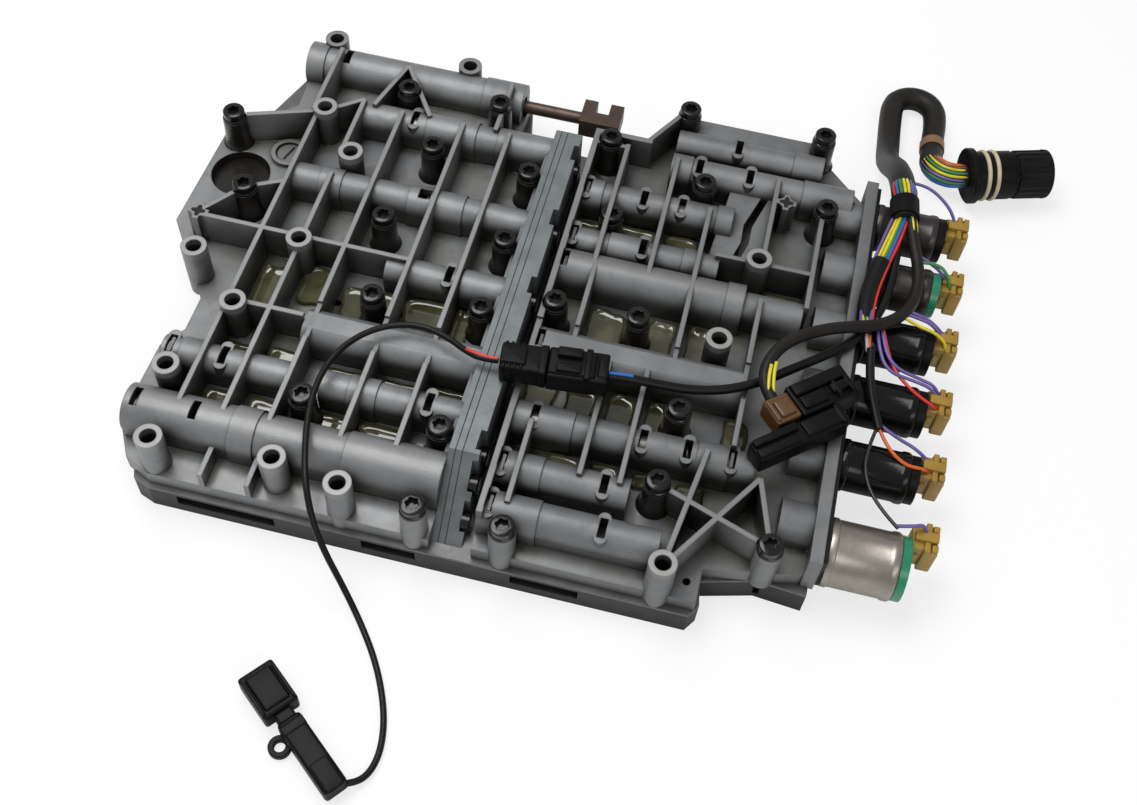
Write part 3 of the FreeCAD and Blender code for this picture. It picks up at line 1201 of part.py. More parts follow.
def make_loom_bands():
    """The wide band over the fan of leads, and the clip near the round connector."""
    loom_radius = S.loom_diameter / 2
    first = [Vector(*point) for point in LOOM_ROUTE[:2]]
    last = [Vector(*point) for point in LOOM_ROUTE[14:16]]
    band = sleeve("loom_band", (first[0] + first[1]) / 2, first[1] - first[0], loom_radius,
                  loom_radius + S.band_thick, S.band_length * 2 / 3)
    clip = sleeve("loom_clip", (last[0] + last[1]) / 2, last[1] - last[0], loom_radius,
                  loom_radius + S.band_thick / 2, S.clip_length)
    return [band, clip]


nodes = [make_lower_housing(), make_separator_plate(), make_left_housing(), make_right_housing()]
nodes += make_end_cover()
nodes += [make_housing_screws(), make_cover_screws(), make_retaining_strip(), make_manual_valve()]
nodes += make_plugs_and_clips()
nodes += make_valves()
nodes += [make_solenoid_retainer()]
nodes += make_solenoids()
nodes += make_wiring()
nodes += make_inline_pair()
nodes += make_loom_connectors()
nodes += [make_speed_sensor()]
nodes += make_bulkhead_connector()
nodes += make_loom_bands()
doc.recompute()

for item in doc.Objects:
    if "Invalid" in item.State or "Error" in item.State:
        raise RuntimeError("%s failed: %s" % (item.Label, item.State))
for item in nodes:
    if item.Shape.isNull() or not item.Shape.isValid():
        raise RuntimeError("%s has no valid shape" % item.Label)
for item in nodes:
    item.Shape.exportStep("parts/%s.step" % item.Label)
print("%d nodes" % len(nodes))
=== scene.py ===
# %% [markdown]
# # A transmission's valve body on a white table
# The part is two ribbed castings on a flat lower housing. Valves slide in bores along the castings,
# six solenoids stand at the right end, and looms of thin leads run over them. The solids come from
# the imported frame. This notebook gives them their finishes, and replaces the pieces that need more
# detail than a solid has: screws, cans, plugs, connectors and looms.

# %% Load the frame
import json
import math

import bpy
import numpy as np
from mathutils import Matrix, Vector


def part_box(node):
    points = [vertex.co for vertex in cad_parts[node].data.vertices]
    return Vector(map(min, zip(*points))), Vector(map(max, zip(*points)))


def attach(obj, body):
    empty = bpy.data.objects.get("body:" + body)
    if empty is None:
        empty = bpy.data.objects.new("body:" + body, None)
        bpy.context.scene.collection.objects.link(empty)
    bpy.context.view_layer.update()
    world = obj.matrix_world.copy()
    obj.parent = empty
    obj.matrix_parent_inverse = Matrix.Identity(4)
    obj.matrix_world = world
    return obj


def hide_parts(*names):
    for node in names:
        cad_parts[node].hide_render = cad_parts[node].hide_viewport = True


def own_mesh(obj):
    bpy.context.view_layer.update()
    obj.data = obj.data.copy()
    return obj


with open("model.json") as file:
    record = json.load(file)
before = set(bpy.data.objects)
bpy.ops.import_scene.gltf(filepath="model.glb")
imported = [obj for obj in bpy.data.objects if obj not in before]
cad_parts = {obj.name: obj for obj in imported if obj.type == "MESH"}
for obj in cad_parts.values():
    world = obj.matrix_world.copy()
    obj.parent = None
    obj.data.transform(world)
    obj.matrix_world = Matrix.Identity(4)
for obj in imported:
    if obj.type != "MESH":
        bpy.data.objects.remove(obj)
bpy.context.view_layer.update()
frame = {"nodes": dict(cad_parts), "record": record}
MM = 0.001
BODY = "valve_body"
print("solids:", len(frame["nodes"]))

# %% [markdown]
# ## Camera
# A photograph fixes seven numbers: where the lens stands, how it is turned and how long it is.
# The lens here looks down at 56 degrees, from a little to the right, with a slight roll. Three unit
# vectors say it best: right, up and back. They are the columns of the camera's matrix.

# %% Place the camera
CAMERA_SPOT = np.array((0.07712, -0.40857, 0.56334))
ELEVATION, AZIMUTH, ROLL = np.radians((56.389, 8.904, 5.359))
LENS_MM, SENSOR_MM = 42.82, 36.0


def camera_axes(elevation, azimuth, roll):
    """Back points from the scene to the lens; right is level; the roll turns right and up about back."""
    back = np.array((math.sin(azimuth) * math.cos(elevation),
                     -math.cos(azimuth) * math.cos(elevation),
                     math.sin(elevation)))
    right = np.array((math.cos(azimuth), math.sin(azimuth), 0.0))
    up = np.cross(back, right)
    rolled_right = math.cos(roll) * right + math.sin(roll) * up
    rolled_up = math.cos(roll) * up - math.sin(roll) * right
    return rolled_right, rolled_up, back


def place_camera():
    """Writes the three axes and the spot into the camera's matrix."""
    camera = bpy.data.objects.new("camera", bpy.data.cameras.new("camera"))
    bpy.context.scene.collection.objects.link(camera)
    matrix = np.eye(4)
    matrix[:3, 0], matrix[:3, 1], matrix[:3, 2] = camera_axes(ELEVATION, AZIMUTH, ROLL)
    matrix[:3, 3] = CAMERA_SPOT
    camera.matrix_world = Matrix(matrix.tolist())
    camera.data.lens = LENS_MM
    camera.data.sensor_width = SENSOR_MM
    camera.data.clip_start = 0.01
    bpy.context.scene.camera = camera


place_camera()
print("camera:", LENS_MM, "mm lens at", CAMERA_SPOT)

# %% [markdown]
# ## Shader maths as expressions
# A node tree is easier to read as a formula. The class below wraps an output socket, so that
# `1 - mask * 0.5` adds its own Math nodes. One method makes every other kind of node.

# %% Sockets that add up
class Wire:
    """An output socket with arithmetic: each operator adds one Math node."""

    def __init__(self, tree, socket):
        self.tree = tree
        self.socket = socket

    def _math(self, operation, first, second=0.0):
        return self.tree.make("ShaderNodeMath", {"operation": operation}, {0: first, 1: second})

    def __add__(self, other):
        return self._math("ADD", self, other)

    def __radd__(self, other):
        return self._math("ADD", other, self)

    def __sub__(self, other):
        return self._math("SUBTRACT", self, other)

    def __rsub__(self, other):
        return self._math("SUBTRACT", other, self)

    def __mul__(self, other):
        return self._math("MULTIPLY", self, other)

    def __rmul__(self, other):
        return self._math("MULTIPLY", other, self)

    def power(self, exponent):
        return self._math("POWER", self, exponent)

    def ramp(self, low, high):
        """0 below low, 1 above high, and a smooth step between."""
        return self.tree.make("ShaderNodeMapRange", {"interpolation_type": "SMOOTHSTEP"},
                              {"Value": self, "From Min": low, "From Max": high})


# %% [markdown]
# ## One finish, one node tree
# A finish holds a material, the shader at its end and the object's own coordinates. The tools that
# several finishes share are its methods: noise, mixed colours, bump, rounded edges, painted shade in corners.

# %% A finish and its tools
CORNER_SAMPLES = 4


class Finish:
    """One material: a node tree, and the shader at its end."""

    def __init__(self, name):
        self.material = bpy.data.materials.new(name)
        self.material.use_nodes = True
        self.nodes = self.material.node_tree.nodes
        self.links = self.material.node_tree.links
        self.shader = self.nodes["Principled BSDF"]
        self.place = self.make("ShaderNodeTexCoord", {}, {}, "Object")

    def make(self, kind, settings, inputs, output=0):
        """Adds a node of any type: settings first, then the values or links of its sockets."""
        node = self.nodes.new(kind)
        for key, value in settings.items():
            setattr(node, key, value)
        for key, value in inputs.items():
            self.feed(node.inputs[key], value)
        return Wire(self, node.outputs[output])

    def feed(self, socket, value):
        """Links a wire, or writes a number or colour."""
        if isinstance(value, Wire):
            self.links.new(value.socket, socket)
        else:
            socket.default_value = value

    def set(self, **values):
        """Sets or links the shader's own sockets, named with underscores for spaces."""
        for key, value in values.items():
            self.feed(self.shader.inputs[key.replace("_", " ")], value)
        return self

    def noise(self, scale, detail=3.0, rough=0.55):
        """Cloudy values round 0.5, with scale counted per metre."""
        return self.make("ShaderNodeTexNoise", {}, {"Vector": self.place, "Scale": scale, "Detail": detail,
                                                    "Roughness": rough})

    def mix(self, mask, first, second):
        """Blends two colours by a mask."""
        return self.make("ShaderNodeMix", {"data_type": "RGBA"}, {0: mask, 6: first, 7: second}, 2)

    def bump(self, height, distance, strength, normal):
        """Tilts a normal by the slope of a height."""
        return self.make("ShaderNodeBump", {}, {"Height": height, "Distance": distance, "Strength": strength,
                                                "Normal": normal})

    def soft_edge(self, radius):
        """Rounds every sharp edge in the shading, as casting and tumbling do to real metal."""
        return self.make("ShaderNodeBevel", {"samples": CORNER_SAMPLES}, {"Radius": radius})

    def height(self):
        """The z coordinate in metres."""
        return self.make("ShaderNodeSeparateXYZ", {}, {0: self.place}, 2)

    def upward(self):
        """The upright share of the surface's own direction: 1 on floors, 0 on walls."""
        facing = self.make("ShaderNodeNewGeometry", {}, {}, "Normal")
        return self.make("ShaderNodeSeparateXYZ", {}, {0: facing}, 2)

    def crevice(self, distance):
        """1 in the open, falling to 0 in corners."""
        return self.make("ShaderNodeAmbientOcclusion", {"samples": CORNER_SAMPLES}, {"Distance": distance}, 1)

    def coat(self, weight, rough):
        """A clear layer on top, written on the shader's own sockets."""
        self.shader.inputs["Coat Weight"].default_value = weight
        self.shader.inputs["Coat Roughness"].default_value = rough


def grey(value, warm=0.0):
    """A nearly neutral colour; warm leans it to yellow, and a negative value to blue."""
    return (value * (1 + warm), value, value * (1 - warm), 1.0)


print("a warm grey:", grey(0.5, 0.1))

# %% [markdown]
# ## Cast aluminium, wet with oil
# Die-cast metal is mid grey with a fine grain. Oil lies in the pockets: there the grey turns olive
# and glossy. Sheltered walls and creases are painted nearly black as shade. The rib tops are lighter,
# and machined rims are bright. Masks of height, shelter and steepness say where each tone lies.

# %% The castings' finish
POCKET_LEVEL, LIGHTER_TOP_LEVEL, MACHINED_LEVEL = 0.0245, 0.0425, 0.0466
OLIVE_OIL = (0.075, 0.072, 0.032, 1.0)


def cast_metal(name, body, oil):
    """Clouds and stains, painted shade on sheltered walls and in creases, oil in low corners, lighter tops,
    bright rims.
    """
    finish = Finish(name)
    grain = finish.noise(1400.0, 4.0)
    cloud = finish.noise(38.0, 3.0)
    stain = finish.noise(120.0, 4.0, 0.65)
    level = finish.height()
    corner = finish.crevice(0.006)
    sheltered = 1 - finish.crevice(0.022).ramp(0.3, 0.85)
    low = 1 - level.ramp(POCKET_LEVEL, POCKET_LEVEL + 0.006)
    wet = low * sheltered * oil
    machined = level.ramp(MACHINED_LEVEL, MACHINED_LEVEL + 0.0002)
    steep = 1 - finish.upward().ramp(0.05, 0.8)
    base = finish.mix(cloud.ramp(0.35, 0.7), grey(body * 0.85, -0.03), grey(body * 1.1, -0.02))
    base = finish.mix(stain.ramp(0.5, 0.75) * 0.4, base, grey(body * 0.6, 0.03))
    # Painted shade: sheltered steep walls are darkened nearly to black.
    base = finish.mix(sheltered.power(0.55) * steep * 0.9, base, grey(body * 0.1, 0.14))
    base = finish.mix(wet * cloud.ramp(0.42, 0.56) * 0.7, base, OLIVE_OIL)
    # The tops above this level are lighter.
    base = finish.mix(level.ramp(LIGHTER_TOP_LEVEL, LIGHTER_TOP_LEVEL + 0.001) * 0.5, base, grey(body * 1.2))
    base = finish.mix(machined * 0.8, base, grey(0.36, 0.02))
    # Painted shade: creases and tight corners are darkened nearly to black.
    base = finish.mix((1 - corner.ramp(0.25, 0.9)) * 0.8, base, grey(0.008, 0.1))
    rough = 0.46 + stain * 0.16 - wet * 0.34
    normal = finish.bump(grain * (1 - wet), 0.00022, 0.55, finish.soft_edge(0.0009))
    finish.set(Base_Color=base, Roughness=rough, Metallic=0.55 - wet * 0.4, Normal=normal)
    finish.coat(0.2, 0.2)
    return finish.material


# %% [markdown]
# ## Every other finish
# The other finishes share one recipe and differ in a few numbers: colour, roughness, metal, the
# grain's fineness and depth, the rounding of edges, and how strong the clear coat and shine are.

# %% The recipe, and all finishes by slot
def plain_finish(name, colour, rough, metal=0.0, grain=600.0, depth=0.0001, edge=0.0004, coat=0.0,
                 shine=0.5):
    """A smooth material: cloudy tone, slight grain, rounded edges and painted shade in corners."""
    finish = Finish(name)
    cloud = finish.noise(90.0, 4.0, 0.6)
    fine = finish.noise(grain, 3.0)
    dark = tuple(value * 0.55 for value in colour[:3]) + (1.0,)
    light = tuple(min(1.0, value * 1.3 + 0.001) for value in colour[:3]) + (1.0,)
    base = finish.mix(cloud.ramp(0.3, 0.7), colour, light)
    # Painted shade: corners are darkened towards a darker copy of the colour.
    base = finish.mix((1 - finish.crevice(0.004).ramp(0.2, 0.9)) * 0.5, base, dark)
    finish.set(Base_Color=base, Roughness=rough * 0.8 + fine * rough * 0.4, Metallic=metal,
               Normal=finish.bump(fine, depth, 0.4, finish.soft_edge(edge)))
    finish.coat(coat, 0.12)
    finish.shader.inputs["Specular IOR Level"].default_value = shine
    return finish.material


RECIPES = {
    "plate_steel": ((0.14, 0.14, 0.14, 1), 0.45, dict(metal=0.8, edge=0.0003)),
    "gasket": ((0.02, 0.022, 0.026, 1), 0.6, dict()),
    "black_screw": ((0.006, 0.0055, 0.005, 1), 0.2, dict(coat=0.3, edge=0.0002, shine=0.3)),
    "black_metal": ((0.004, 0.004, 0.004, 1), 0.4, dict(shine=0.3)),
    "valve_steel": ((0.16, 0.155, 0.15, 1), 0.35, dict(metal=0.9)),
    "brown_steel": ((0.09, 0.062, 0.05, 1), 0.42, dict(metal=0.7)),
    "spring_steel": ((0.12, 0.12, 0.12, 1), 0.4, dict(metal=0.9)),
    "grey_can": ((0.03, 0.025, 0.023, 1), 0.34, dict(metal=0.4, coat=0.2)),
    "black_can": ((0.003, 0.003, 0.003, 1), 0.16, dict(coat=0.15, shine=0.2)),
    "silver_can": ((0.3, 0.275, 0.24, 1), 0.34, dict(metal=0.85)),
    "black_plastic": ((0.003, 0.003, 0.003, 1), 0.4, dict(grain=1800.0, shine=0.14)),
    "green_plastic": ((0.01, 0.2, 0.1, 1), 0.3, dict(coat=0.3)),
    "amber_plastic": ((0.3, 0.18, 0.022, 1), 0.34, dict(coat=0.25)),
    "brown_plastic": ((0.1, 0.042, 0.012, 1), 0.36, dict(coat=0.2)),
    "loom_sleeve": ((0.011, 0.0095, 0.0085, 1), 0.45, dict(grain=1200.0, depth=0.0004, shine=0.25)),
    "lead_sheath": ((0.0035, 0.0035, 0.0035, 1), 0.35, dict(grain=1500.0, depth=0.0003, shine=0.25)),
    "seal": ((0.5, 0.43, 0.28, 1), 0.5, dict()),
    # Painted shade: a dark skin for the screw posts and the recesses of the castings.
    "shade_skin": ((0.014, 0.0115, 0.009, 1), 0.28, dict(metal=0.2, coat=0.3, shine=0.35)),
    "tan_tape": ((0.22, 0.12, 0.06, 1), 0.5, dict()),
}
FINISHES = {
    "cast_metal": cast_metal("cast_aluminium", 0.265, 1.0),
    "dark_cast_metal": cast_metal("dark_casting", 0.033, 0.0),
    "cover_metal": plain_finish("machined_cover", (0.16, 0.175, 0.18, 1), 0.5, metal=0.6, edge=0.0003),
}
for name, (colour, rough, more) in RECIPES.items():
    FINISHES[name] = plain_finish(name, colour, rough, **more)

# %% [markdown]
# ## Finishes on the solids
# The record names a slot for each solid, and the slot names its finish. The right casting is a
# little darker than the left, so it gets a darker copy of the castings' finish.

# %% Give every solid its finish
for entry in frame["record"]["subparts"]:
    node = frame["nodes"][entry["node"]]
    node.data.materials.clear()
    node.data.materials.append(FINISHES[entry["material_slot"]])
# The right casting gets a darker copy of the same finish.
right_casting = frame["nodes"]["right_housing"].data.materials
right_casting.clear()
right_casting.append(cast_metal("darker_aluminium", 0.215, 1.0))
print("finishes:", len(FINISHES))

# %% [markdown]
# ## Floor and light
# A soft box overhead and a wide one in front give the long, pale highlights. They stand where flat
# oil doesn't mirror them towards the lens, so that only its curved rims shine. The table glows a
# little for the camera's rays, which keeps it white and keeps the part's shadow. The world beyond
# it shows white to the camera only.

# %% Floor, lamps and world
FLOOR_SIZE, FLOOR_GAP = 12.0, 0.0003
TABLE_GLOW, GLOW_STRENGTH = 0.68, 1.06
WORLD_STRENGTH = 0.42
LAMPS = (
    ("overhead", (-0.35, 0.1, 1.15), (0.0, 0.0, 0.0), (0.9, 0.6), 9.0),
    ("front", (0.6, -0.9, 0.9), (0.05, -0.05, 0.0), (0.8, 0.4), 2.6),
)


def make_floor():
    """A wide square just under the part, whose paint mixes white with a glow for the camera."""
    half = FLOOR_SIZE / 2
    corners = ((-half, -half), (half, -half), (half, half), (-half, half))
    mesh = bpy.data.meshes.new("floor")
    mesh.from_pydata([(x, y, -FLOOR_GAP) for x, y in corners], [], [(0, 1, 2, 3)])
    floor = bpy.data.objects.new("floor", mesh)
    bpy.context.scene.collection.objects.link(floor)
    paint = Finish("white_table")
    paint.set(Base_Color=(0.9, 0.9, 0.9, 1.0), Roughness=0.75)
    paint.shader.inputs["Specular IOR Level"].default_value = 0.1
    seen = paint.make("ShaderNodeLightPath", {}, {}, "Is Camera Ray") * TABLE_GLOW
    glow = paint.make("ShaderNodeEmission", {}, {"Strength": GLOW_STRENGTH})
    both = paint.make("ShaderNodeMixShader", {}, {0: seen, 1: Wire(paint, paint.shader.outputs[0]), 2: glow})
    paint.links.new(both.socket, paint.nodes["Material Output"].inputs["Surface"])
    mesh.materials.append(paint.material)


def soft_box(name, spot, aim, size, power):
    """An area lamp at spot that faces aim; its axes are right, back x right, and back."""
    lamp = bpy.data.objects.new(name, bpy.data.lights.new(name, "AREA"))
    lamp.data.shape = "RECTANGLE"
    lamp.data.size, lamp.data.size_y = size
    lamp.data.energy = power
    back = np.array(spot, float) - np.array(aim, float)
    back /= np.linalg.norm(back)
    right = np.cross((0.0, 0.0, 1.0), back)
    right /= np.linalg.norm(right)
    matrix = np.eye(4)
    matrix[:3] = np.stack((right, np.cross(back, right), back, spot), axis=1)
    lamp.matrix_world = Matrix(matrix.tolist())
    bpy.context.scene.collection.objects.link(lamp)


def make_world(strength):
    """White for the camera's rays; a dimmer white as light."""
    world = bpy.data.worlds.new("studio")
    world.use_nodes = True
    bpy.context.scene.world = world
    nodes, links = world.node_tree.nodes, world.node_tree.links
    background = nodes["Background"]
    background.inputs["Color"].default_value = (1.0, 1.0, 1.0, 1.0)
    path = nodes.new("ShaderNodeLightPath")
    blend = nodes.new("ShaderNodeMapRange")
    blend.inputs["To Min"].default_value = strength
    blend.inputs["To Max"].default_value = 1.0
    links.new(path.outputs["Is Camera Ray"], blend.inputs["Value"])
    links.new(blend.outputs["Result"], background.inputs["Strength"])


make_floor()
for lamp in LAMPS:
    soft_box(*lamp)
make_world(WORLD_STRENGTH)
bpy.context.scene.view_settings.view_transform = "Standard"
print("lamps:", len(LAMPS))

# %% [markdown]
# ## Surfaces from formulas
# Every new piece is a grid of points: rows along one parameter, columns along the other. The last
# column joins the first, and a pole closes each end. Several such grids make one piece.

# %% From grids to a piece
SHARP_ANGLE = math.radians(32)


def full_turn(steps):
    """Equal angles once round, without the last, which is the first again."""
    return np.linspace(0.0, 2 * np.pi, steps, endpoint=False)


def grid_quads(rows, columns):
    """Index quads of a grid whose columns wrap round."""
    index = np.arange(rows * columns).reshape(rows, columns)
    right = np.roll(index, -1, axis=1)
    return np.stack((index[:-1], right[:-1], right[1:], index[1:]), axis=-1).reshape(-1, 4)


def piece_from_grids(name, grids, material, body=BODY, replaces=()):
    """Joins closed grids into one mesh object, and lets it ride on its body."""
    vertices = []
    quads = []
    start = 0
    for grid in grids:
        rows, columns, _ = grid.shape
        vertices.append(grid.reshape(-1, 3))
        quads.append(grid_quads(rows, columns) + start)
        start += rows * columns
    mesh = bpy.data.meshes.new(name)
    mesh.from_pydata((np.concatenate(vertices) * MM).tolist(), [], np.concatenate(quads).tolist())
    mesh.validate()
    mesh.materials.append(FINISHES[material])
    item = bpy.data.objects.new(name, mesh)
    bpy.context.scene.collection.objects.link(item)
    mesh.shade_smooth()
    mesh.set_sharp_from_angle(angle=SHARP_ANGLE)
    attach(item, body)
    if replaces:
        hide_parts(*replaces)
    return item


print("quads of a 3 by 8 grid:", len(grid_quads(3, 8)))

# %% [markdown]
# ## Turned shapes
# A can or a barrel is a profile turned about an axis. The radius may also depend on the angle, which
# gives grip ribs and lobes. Each piece is made along X, and then turned and moved into place.

# %% Turning and moving
def moved(points, spot, turn=0.0):
    """Turns points about Z by an angle in degrees, then moves them."""
    cosine, sine = math.cos(math.radians(turn)), math.sin(math.radians(turn))
    spin = np.array(((cosine, -sine, 0.0), (sine, cosine, 0.0), (0.0, 0.0, 1.0)))
    return points @ spin.T + np.array(spot, float)


def turned_grid(profile, sides, spot=(0, 0, 0), turn=0.0, lobes=None):
    """Points (d, r cos a, r sin a) for each (d, r) of a profile; lobes may scale r by angle and d."""
    distance, radius = np.array(profile, float).T[:, :, None]
    angle = full_turn(sides)
    reach = radius * (np.ones(sides) if lobes is None else lobes(angle, distance))
    points = np.stack((distance + 0 * angle, reach * np.cos(angle), reach * np.sin(angle)), -1)
    return moved(points, spot, turn)


print("a turned ring:", turned_grid(((0, 1), (1, 1)), 8).shape)

# %% [markdown]
# ## Rounded blocks
# Moulded plastic has no sharp edges. In plan a block is a rectangle with rounded corners. From the
# side, its upper and lower edges are quarter rounds, made by shrinking that plan ring by ring.

# %% Rounded blocks
BLOCK_STEPS = 4


def block_grid(low, high, corner, spot=(0, 0, 0), turn=0.0):
    """Rings of a rounded rectangle: level and inset follow a quarter round at the foot and the top."""
    low, high = np.array(low, float), np.array(high, float)
    middle, half = (low + high) / 2, (high - low) / 2
    edge = min(corner, (high - low).min() / 2.01)
    corner = min(corner, (high - low)[:2].min() / 2.01)
    quarter = np.linspace(0.0, np.pi / 2, BLOCK_STEPS + 1)
    angle = np.concatenate([quarter + side * np.pi / 2 for side in range(4)])
    side_x = np.repeat((1, -1, -1, 1), BLOCK_STEPS + 1)
    side_y = np.repeat((1, 1, -1, -1), BLOCK_STEPS + 1)
    rise = edge * (1 - np.cos(quarter))
    level = np.concatenate((low[2] + rise, high[2] - rise[::-1]))[:, None]
    inset = edge * np.concatenate((1 - np.sin(quarter), 1 - np.sin(quarter[::-1])))
    reach = np.maximum(corner - inset, 0.01)[:, None]
    x = middle[0] + side_x * (half[0] - corner) + reach * np.cos(angle)
    y = middle[1] + side_y * (half[1] - corner) + reach * np.sin(angle)
    body = np.stack((x, y, level + 0 * angle), -1)
    poles = [np.broadcast_to((middle[0], middle[1], end), (1, len(angle), 3)) for end in (low[2], high[2])]
    return moved(np.concatenate((poles[0], body, poles[1])), spot, turn)


print("rings in a block:", len(block_grid((0, 0, 0), (1, 1, 1), 0.2)))

# %% [markdown]
# ## Cords
# The looms are NURBS curves of order three whose control points are the route's points. A round
# bevel gives the sleeve. The thin coloured leads are the same kind of curve, with a finer bevel.

# %% Routes and cords
LEAD_ROUTE = (
    (-11.9, -59.7, 53.3), (-20.0, -60.6, 53.0), (-28.5, -57.0, 51.4), (-39.0, -50.5, 49.6),
    (-53.0, -46.5, 48.9), (-68.0, -50.5, 48.8), (-80.0, -60.5, 48.8), (-87.5, -75.0, 48.8),
    (-89.5, -92.0, 48.8), (-87.0, -110.0, 48.8), (-82.0, -127.5, 48.8), (-76.5, -142.5, 47.0),
    (-70.0, -154.5, 38.5), (-63.5, -161.0, 26.0), (-57.0, -165.5, 13.5), (-50.0, -171.5, 4.6),
    (-41.5, -181.0, 1.7), (-32.0, -193.5, 1.6), (-24.0, -207.5, 1.6), (-18.5, -221.5, 1.6),
    (-16.5, -234.5, 1.6), (-18.5, -244.5, 2.2), (-24.0, -250.0, 4.0), (-30.0, -252.0, 5.6),
)
LINK_ROUTE = (
    (38.9, -54.4, 53.3), (49.0, -52.6, 52.2), (63.0, -50.3, 49.2), (79.0, -47.6, 46.9),
    (95.0, -42.0, 46.1), (109.5, -33.0, 46.0), (121.5, -21.5, 44.6), (133.5, -10.5, 43.1),
    (144.5, 0.0, 42.8), (153.0, 11.5, 42.4), (158.5, 24.0, 42.2), (161.5, 37.0, 42.0),
    (162.8, 50.0, 42.2), (163.2, 62.0, 43.8), (162.9, 72.8, 45.6), (161.6, 83.7, 46.4),
)
BRANCH_ROUTE = (
    (114.9, -45.5, 50.3), (110.2, -40.0, 51.2), (108.6, -31.5, 53.0), (111.0, -22.0, 54.0),
    (117.0, -12.5, 53.8), (126.0, -4.5, 52.8), (136.5, 2.5, 51.2), (147.5, 8.0, 49.4),
    (158.0, 13.5, 46.8), (168.0, 22.5, 44.6), (174.0, 34.0, 43.2), (176.0, 47.0, 43.0),
    (174.5, 60.0, 43.8), (170.0, 72.5, 46.6), (167.4, 84.3, 48.4),
)
LOOM_ROUTE = (
    (164.5, 84.0, 47.4), (163.0, 98.0, 47.4), (161.0, 113.0, 45.6), (159.0, 128.0, 38.0),
    (157.2, 143.0, 25.5), (156.0, 159.0, 13.0), (156.4, 177.0, 7.2), (155.6, 196.0, 6.6),
    (155.5, 212.1, 6.6), (160.3, 218.6, 6.6), (168.0, 221.1, 6.6), (175.7, 218.6, 6.6),
    (180.5, 212.1, 6.6), (181.4, 200.0, 6.7), (180.9, 187.0, 7.3), (181.0, 175.5, 9.4),
    (180.5, 165.0, 12.2), (183.2, 159.6, 13.8), (188.1, 156.1, 15.0), (194.0, 155.2, 15.8),
    (199.7, 157.0, 16.0),
)
CURVE_STEPS, BEVEL_STEPS = 8, 5


def route_curve(name, points, radius, material):
    """One open NURBS spline of order three through a route, with a round bevel."""
    curve = bpy.data.curves.new(name, "CURVE")
    curve.dimensions = "3D"
    curve.resolution_u = CURVE_STEPS
    curve.bevel_depth = radius * MM
    curve.bevel_resolution = BEVEL_STEPS
    curve.use_fill_caps = True
    spline = curve.splines.new("NURBS")
    spline.points.add(len(points) - 1)
    flat = np.c_[np.array(points, float) * MM, np.ones(len(points))]
    spline.points.foreach_set("co", flat.ravel())
    spline.order_u = 3
    spline.use_endpoint_u = True
    curve.materials.append(material)
    item = bpy.data.objects.new(name, curve)
    bpy.context.scene.collection.objects.link(item)
    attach(item, BODY)
    return item


def make_cord(name, points, diameter, material):
    """A cord that starts where it leaves the object, and replaces its solid."""
    item = route_curve(name + "_cord", points, diameter / 2, FINISHES[material])
    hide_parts(name)


print("route points:", [len(route) for route in (LEAD_ROUTE, LINK_ROUTE, BRANCH_ROUTE, LOOM_ROUTE)])

# %% [markdown]
# ## Oil left in the pockets
# Oil that never drained lies in the deep pockets. A drop climbs the walls round it, so the surface
# curves up at its rim, and the curve catches the lamps as a thin white line. The plan is a rounded
# rectangle, written as a superellipse; the height grows with a high power of the distance. A
# skirt under the rim closes the drop. Each plan is given by its two ends along X and along Y.

# %% Puddles
FLOOR_LEVEL, OIL_DEPTH, OIL_RISE, OIL_SKIRT = 24.0, 0.5, 1.6, 0.4
RIM_POWER, PLAN_POWER, PUDDLE_SIDES = 14, 5, 48
oil = Finish("old_oil")
oil_tone = oil.mix(oil.noise(60.0, 2.0).ramp(0.35, 0.65), (0.045, 0.043, 0.014, 1), (0.105, 0.1, 0.05, 1))
oil.set(Base_Color=oil_tone, Roughness=0.06)
oil.coat(1.0, 0.03)
FINISHES["old_oil"] = oil.material
PUDDLES = (
    (-70, -48, -32, -15), (-101, -73, -37, -16), (-124, -107, -32, -10), (-145, -129, -42, -14),
    (-125, -107, -71, -62), (-145, -130, -72, -64), (-145, -130, -102, -92), (-124, -107, -102, -92),
    (-95, -74, -72, -66), (-69, -48, -72, -66), (-92, -74, -101, -92), (-69, -48, -101, -92),
    (-44, -26, -72, -64), (-44, -36, -41, -16),
    (20, 42, 46, 60), (47, 64, 46, 60), (0, 14, 47, 58), (20, 38, -20, 3),
    (50, 63, -20, 4), (70, 80, -22, 4), (102, 121, 30, 36), (0, 15, -63, -45),
    (20, 34, -63, -45), (40, 53, -63, -45), (59, 68, -63, -45), (20, 34, -94, -85), (40, 53, -93, -85),
    (60, 70, -93, -85), (80, 94, -98, -86), (96, 108, -62, -45),
)


def puddle(x0, x1, y0, y1):
    """Rings of a superellipse (|cos|^p + |sin|^p)^(-1/p); the height is depth + rise * share^q."""
    angle = full_turn(PUDDLE_SIDES)
    cosine, sine = np.cos(angle), np.sin(angle)
    reach = (np.abs(cosine) ** PLAN_POWER + np.abs(sine) ** PLAN_POWER) ** (-1 / PLAN_POWER)
    wobble = 1 + 0.05 * np.sin(3 * angle + x0) + 0.03 * np.sin(5 * angle + y0)
    share = np.array((0.0, 0.3, 0.6, 0.75, 0.84, 0.9, 0.94, 0.97, 1.0, 1.0, 0.0))
    lift = FLOOR_LEVEL + OIL_DEPTH + OIL_RISE * share ** RIM_POWER
    lift[-2:] = FLOOR_LEVEL - OIL_SKIRT
    x = (x0 + x1) / 2 + share[:, None] * (x1 - x0) / 2 * reach * wobble * cosine
    y = (y0 + y1) / 2 + share[:, None] * (y1 - y0) / 2 * reach * wobble * sine
    return np.stack((x, y, lift[:, None] + 0 * angle), -1)[::-1]


piece_from_grids("oil_puddles", [puddle(*plan) for plan in PUDDLES], "old_oil")
print("puddles:", len(PUDDLES))
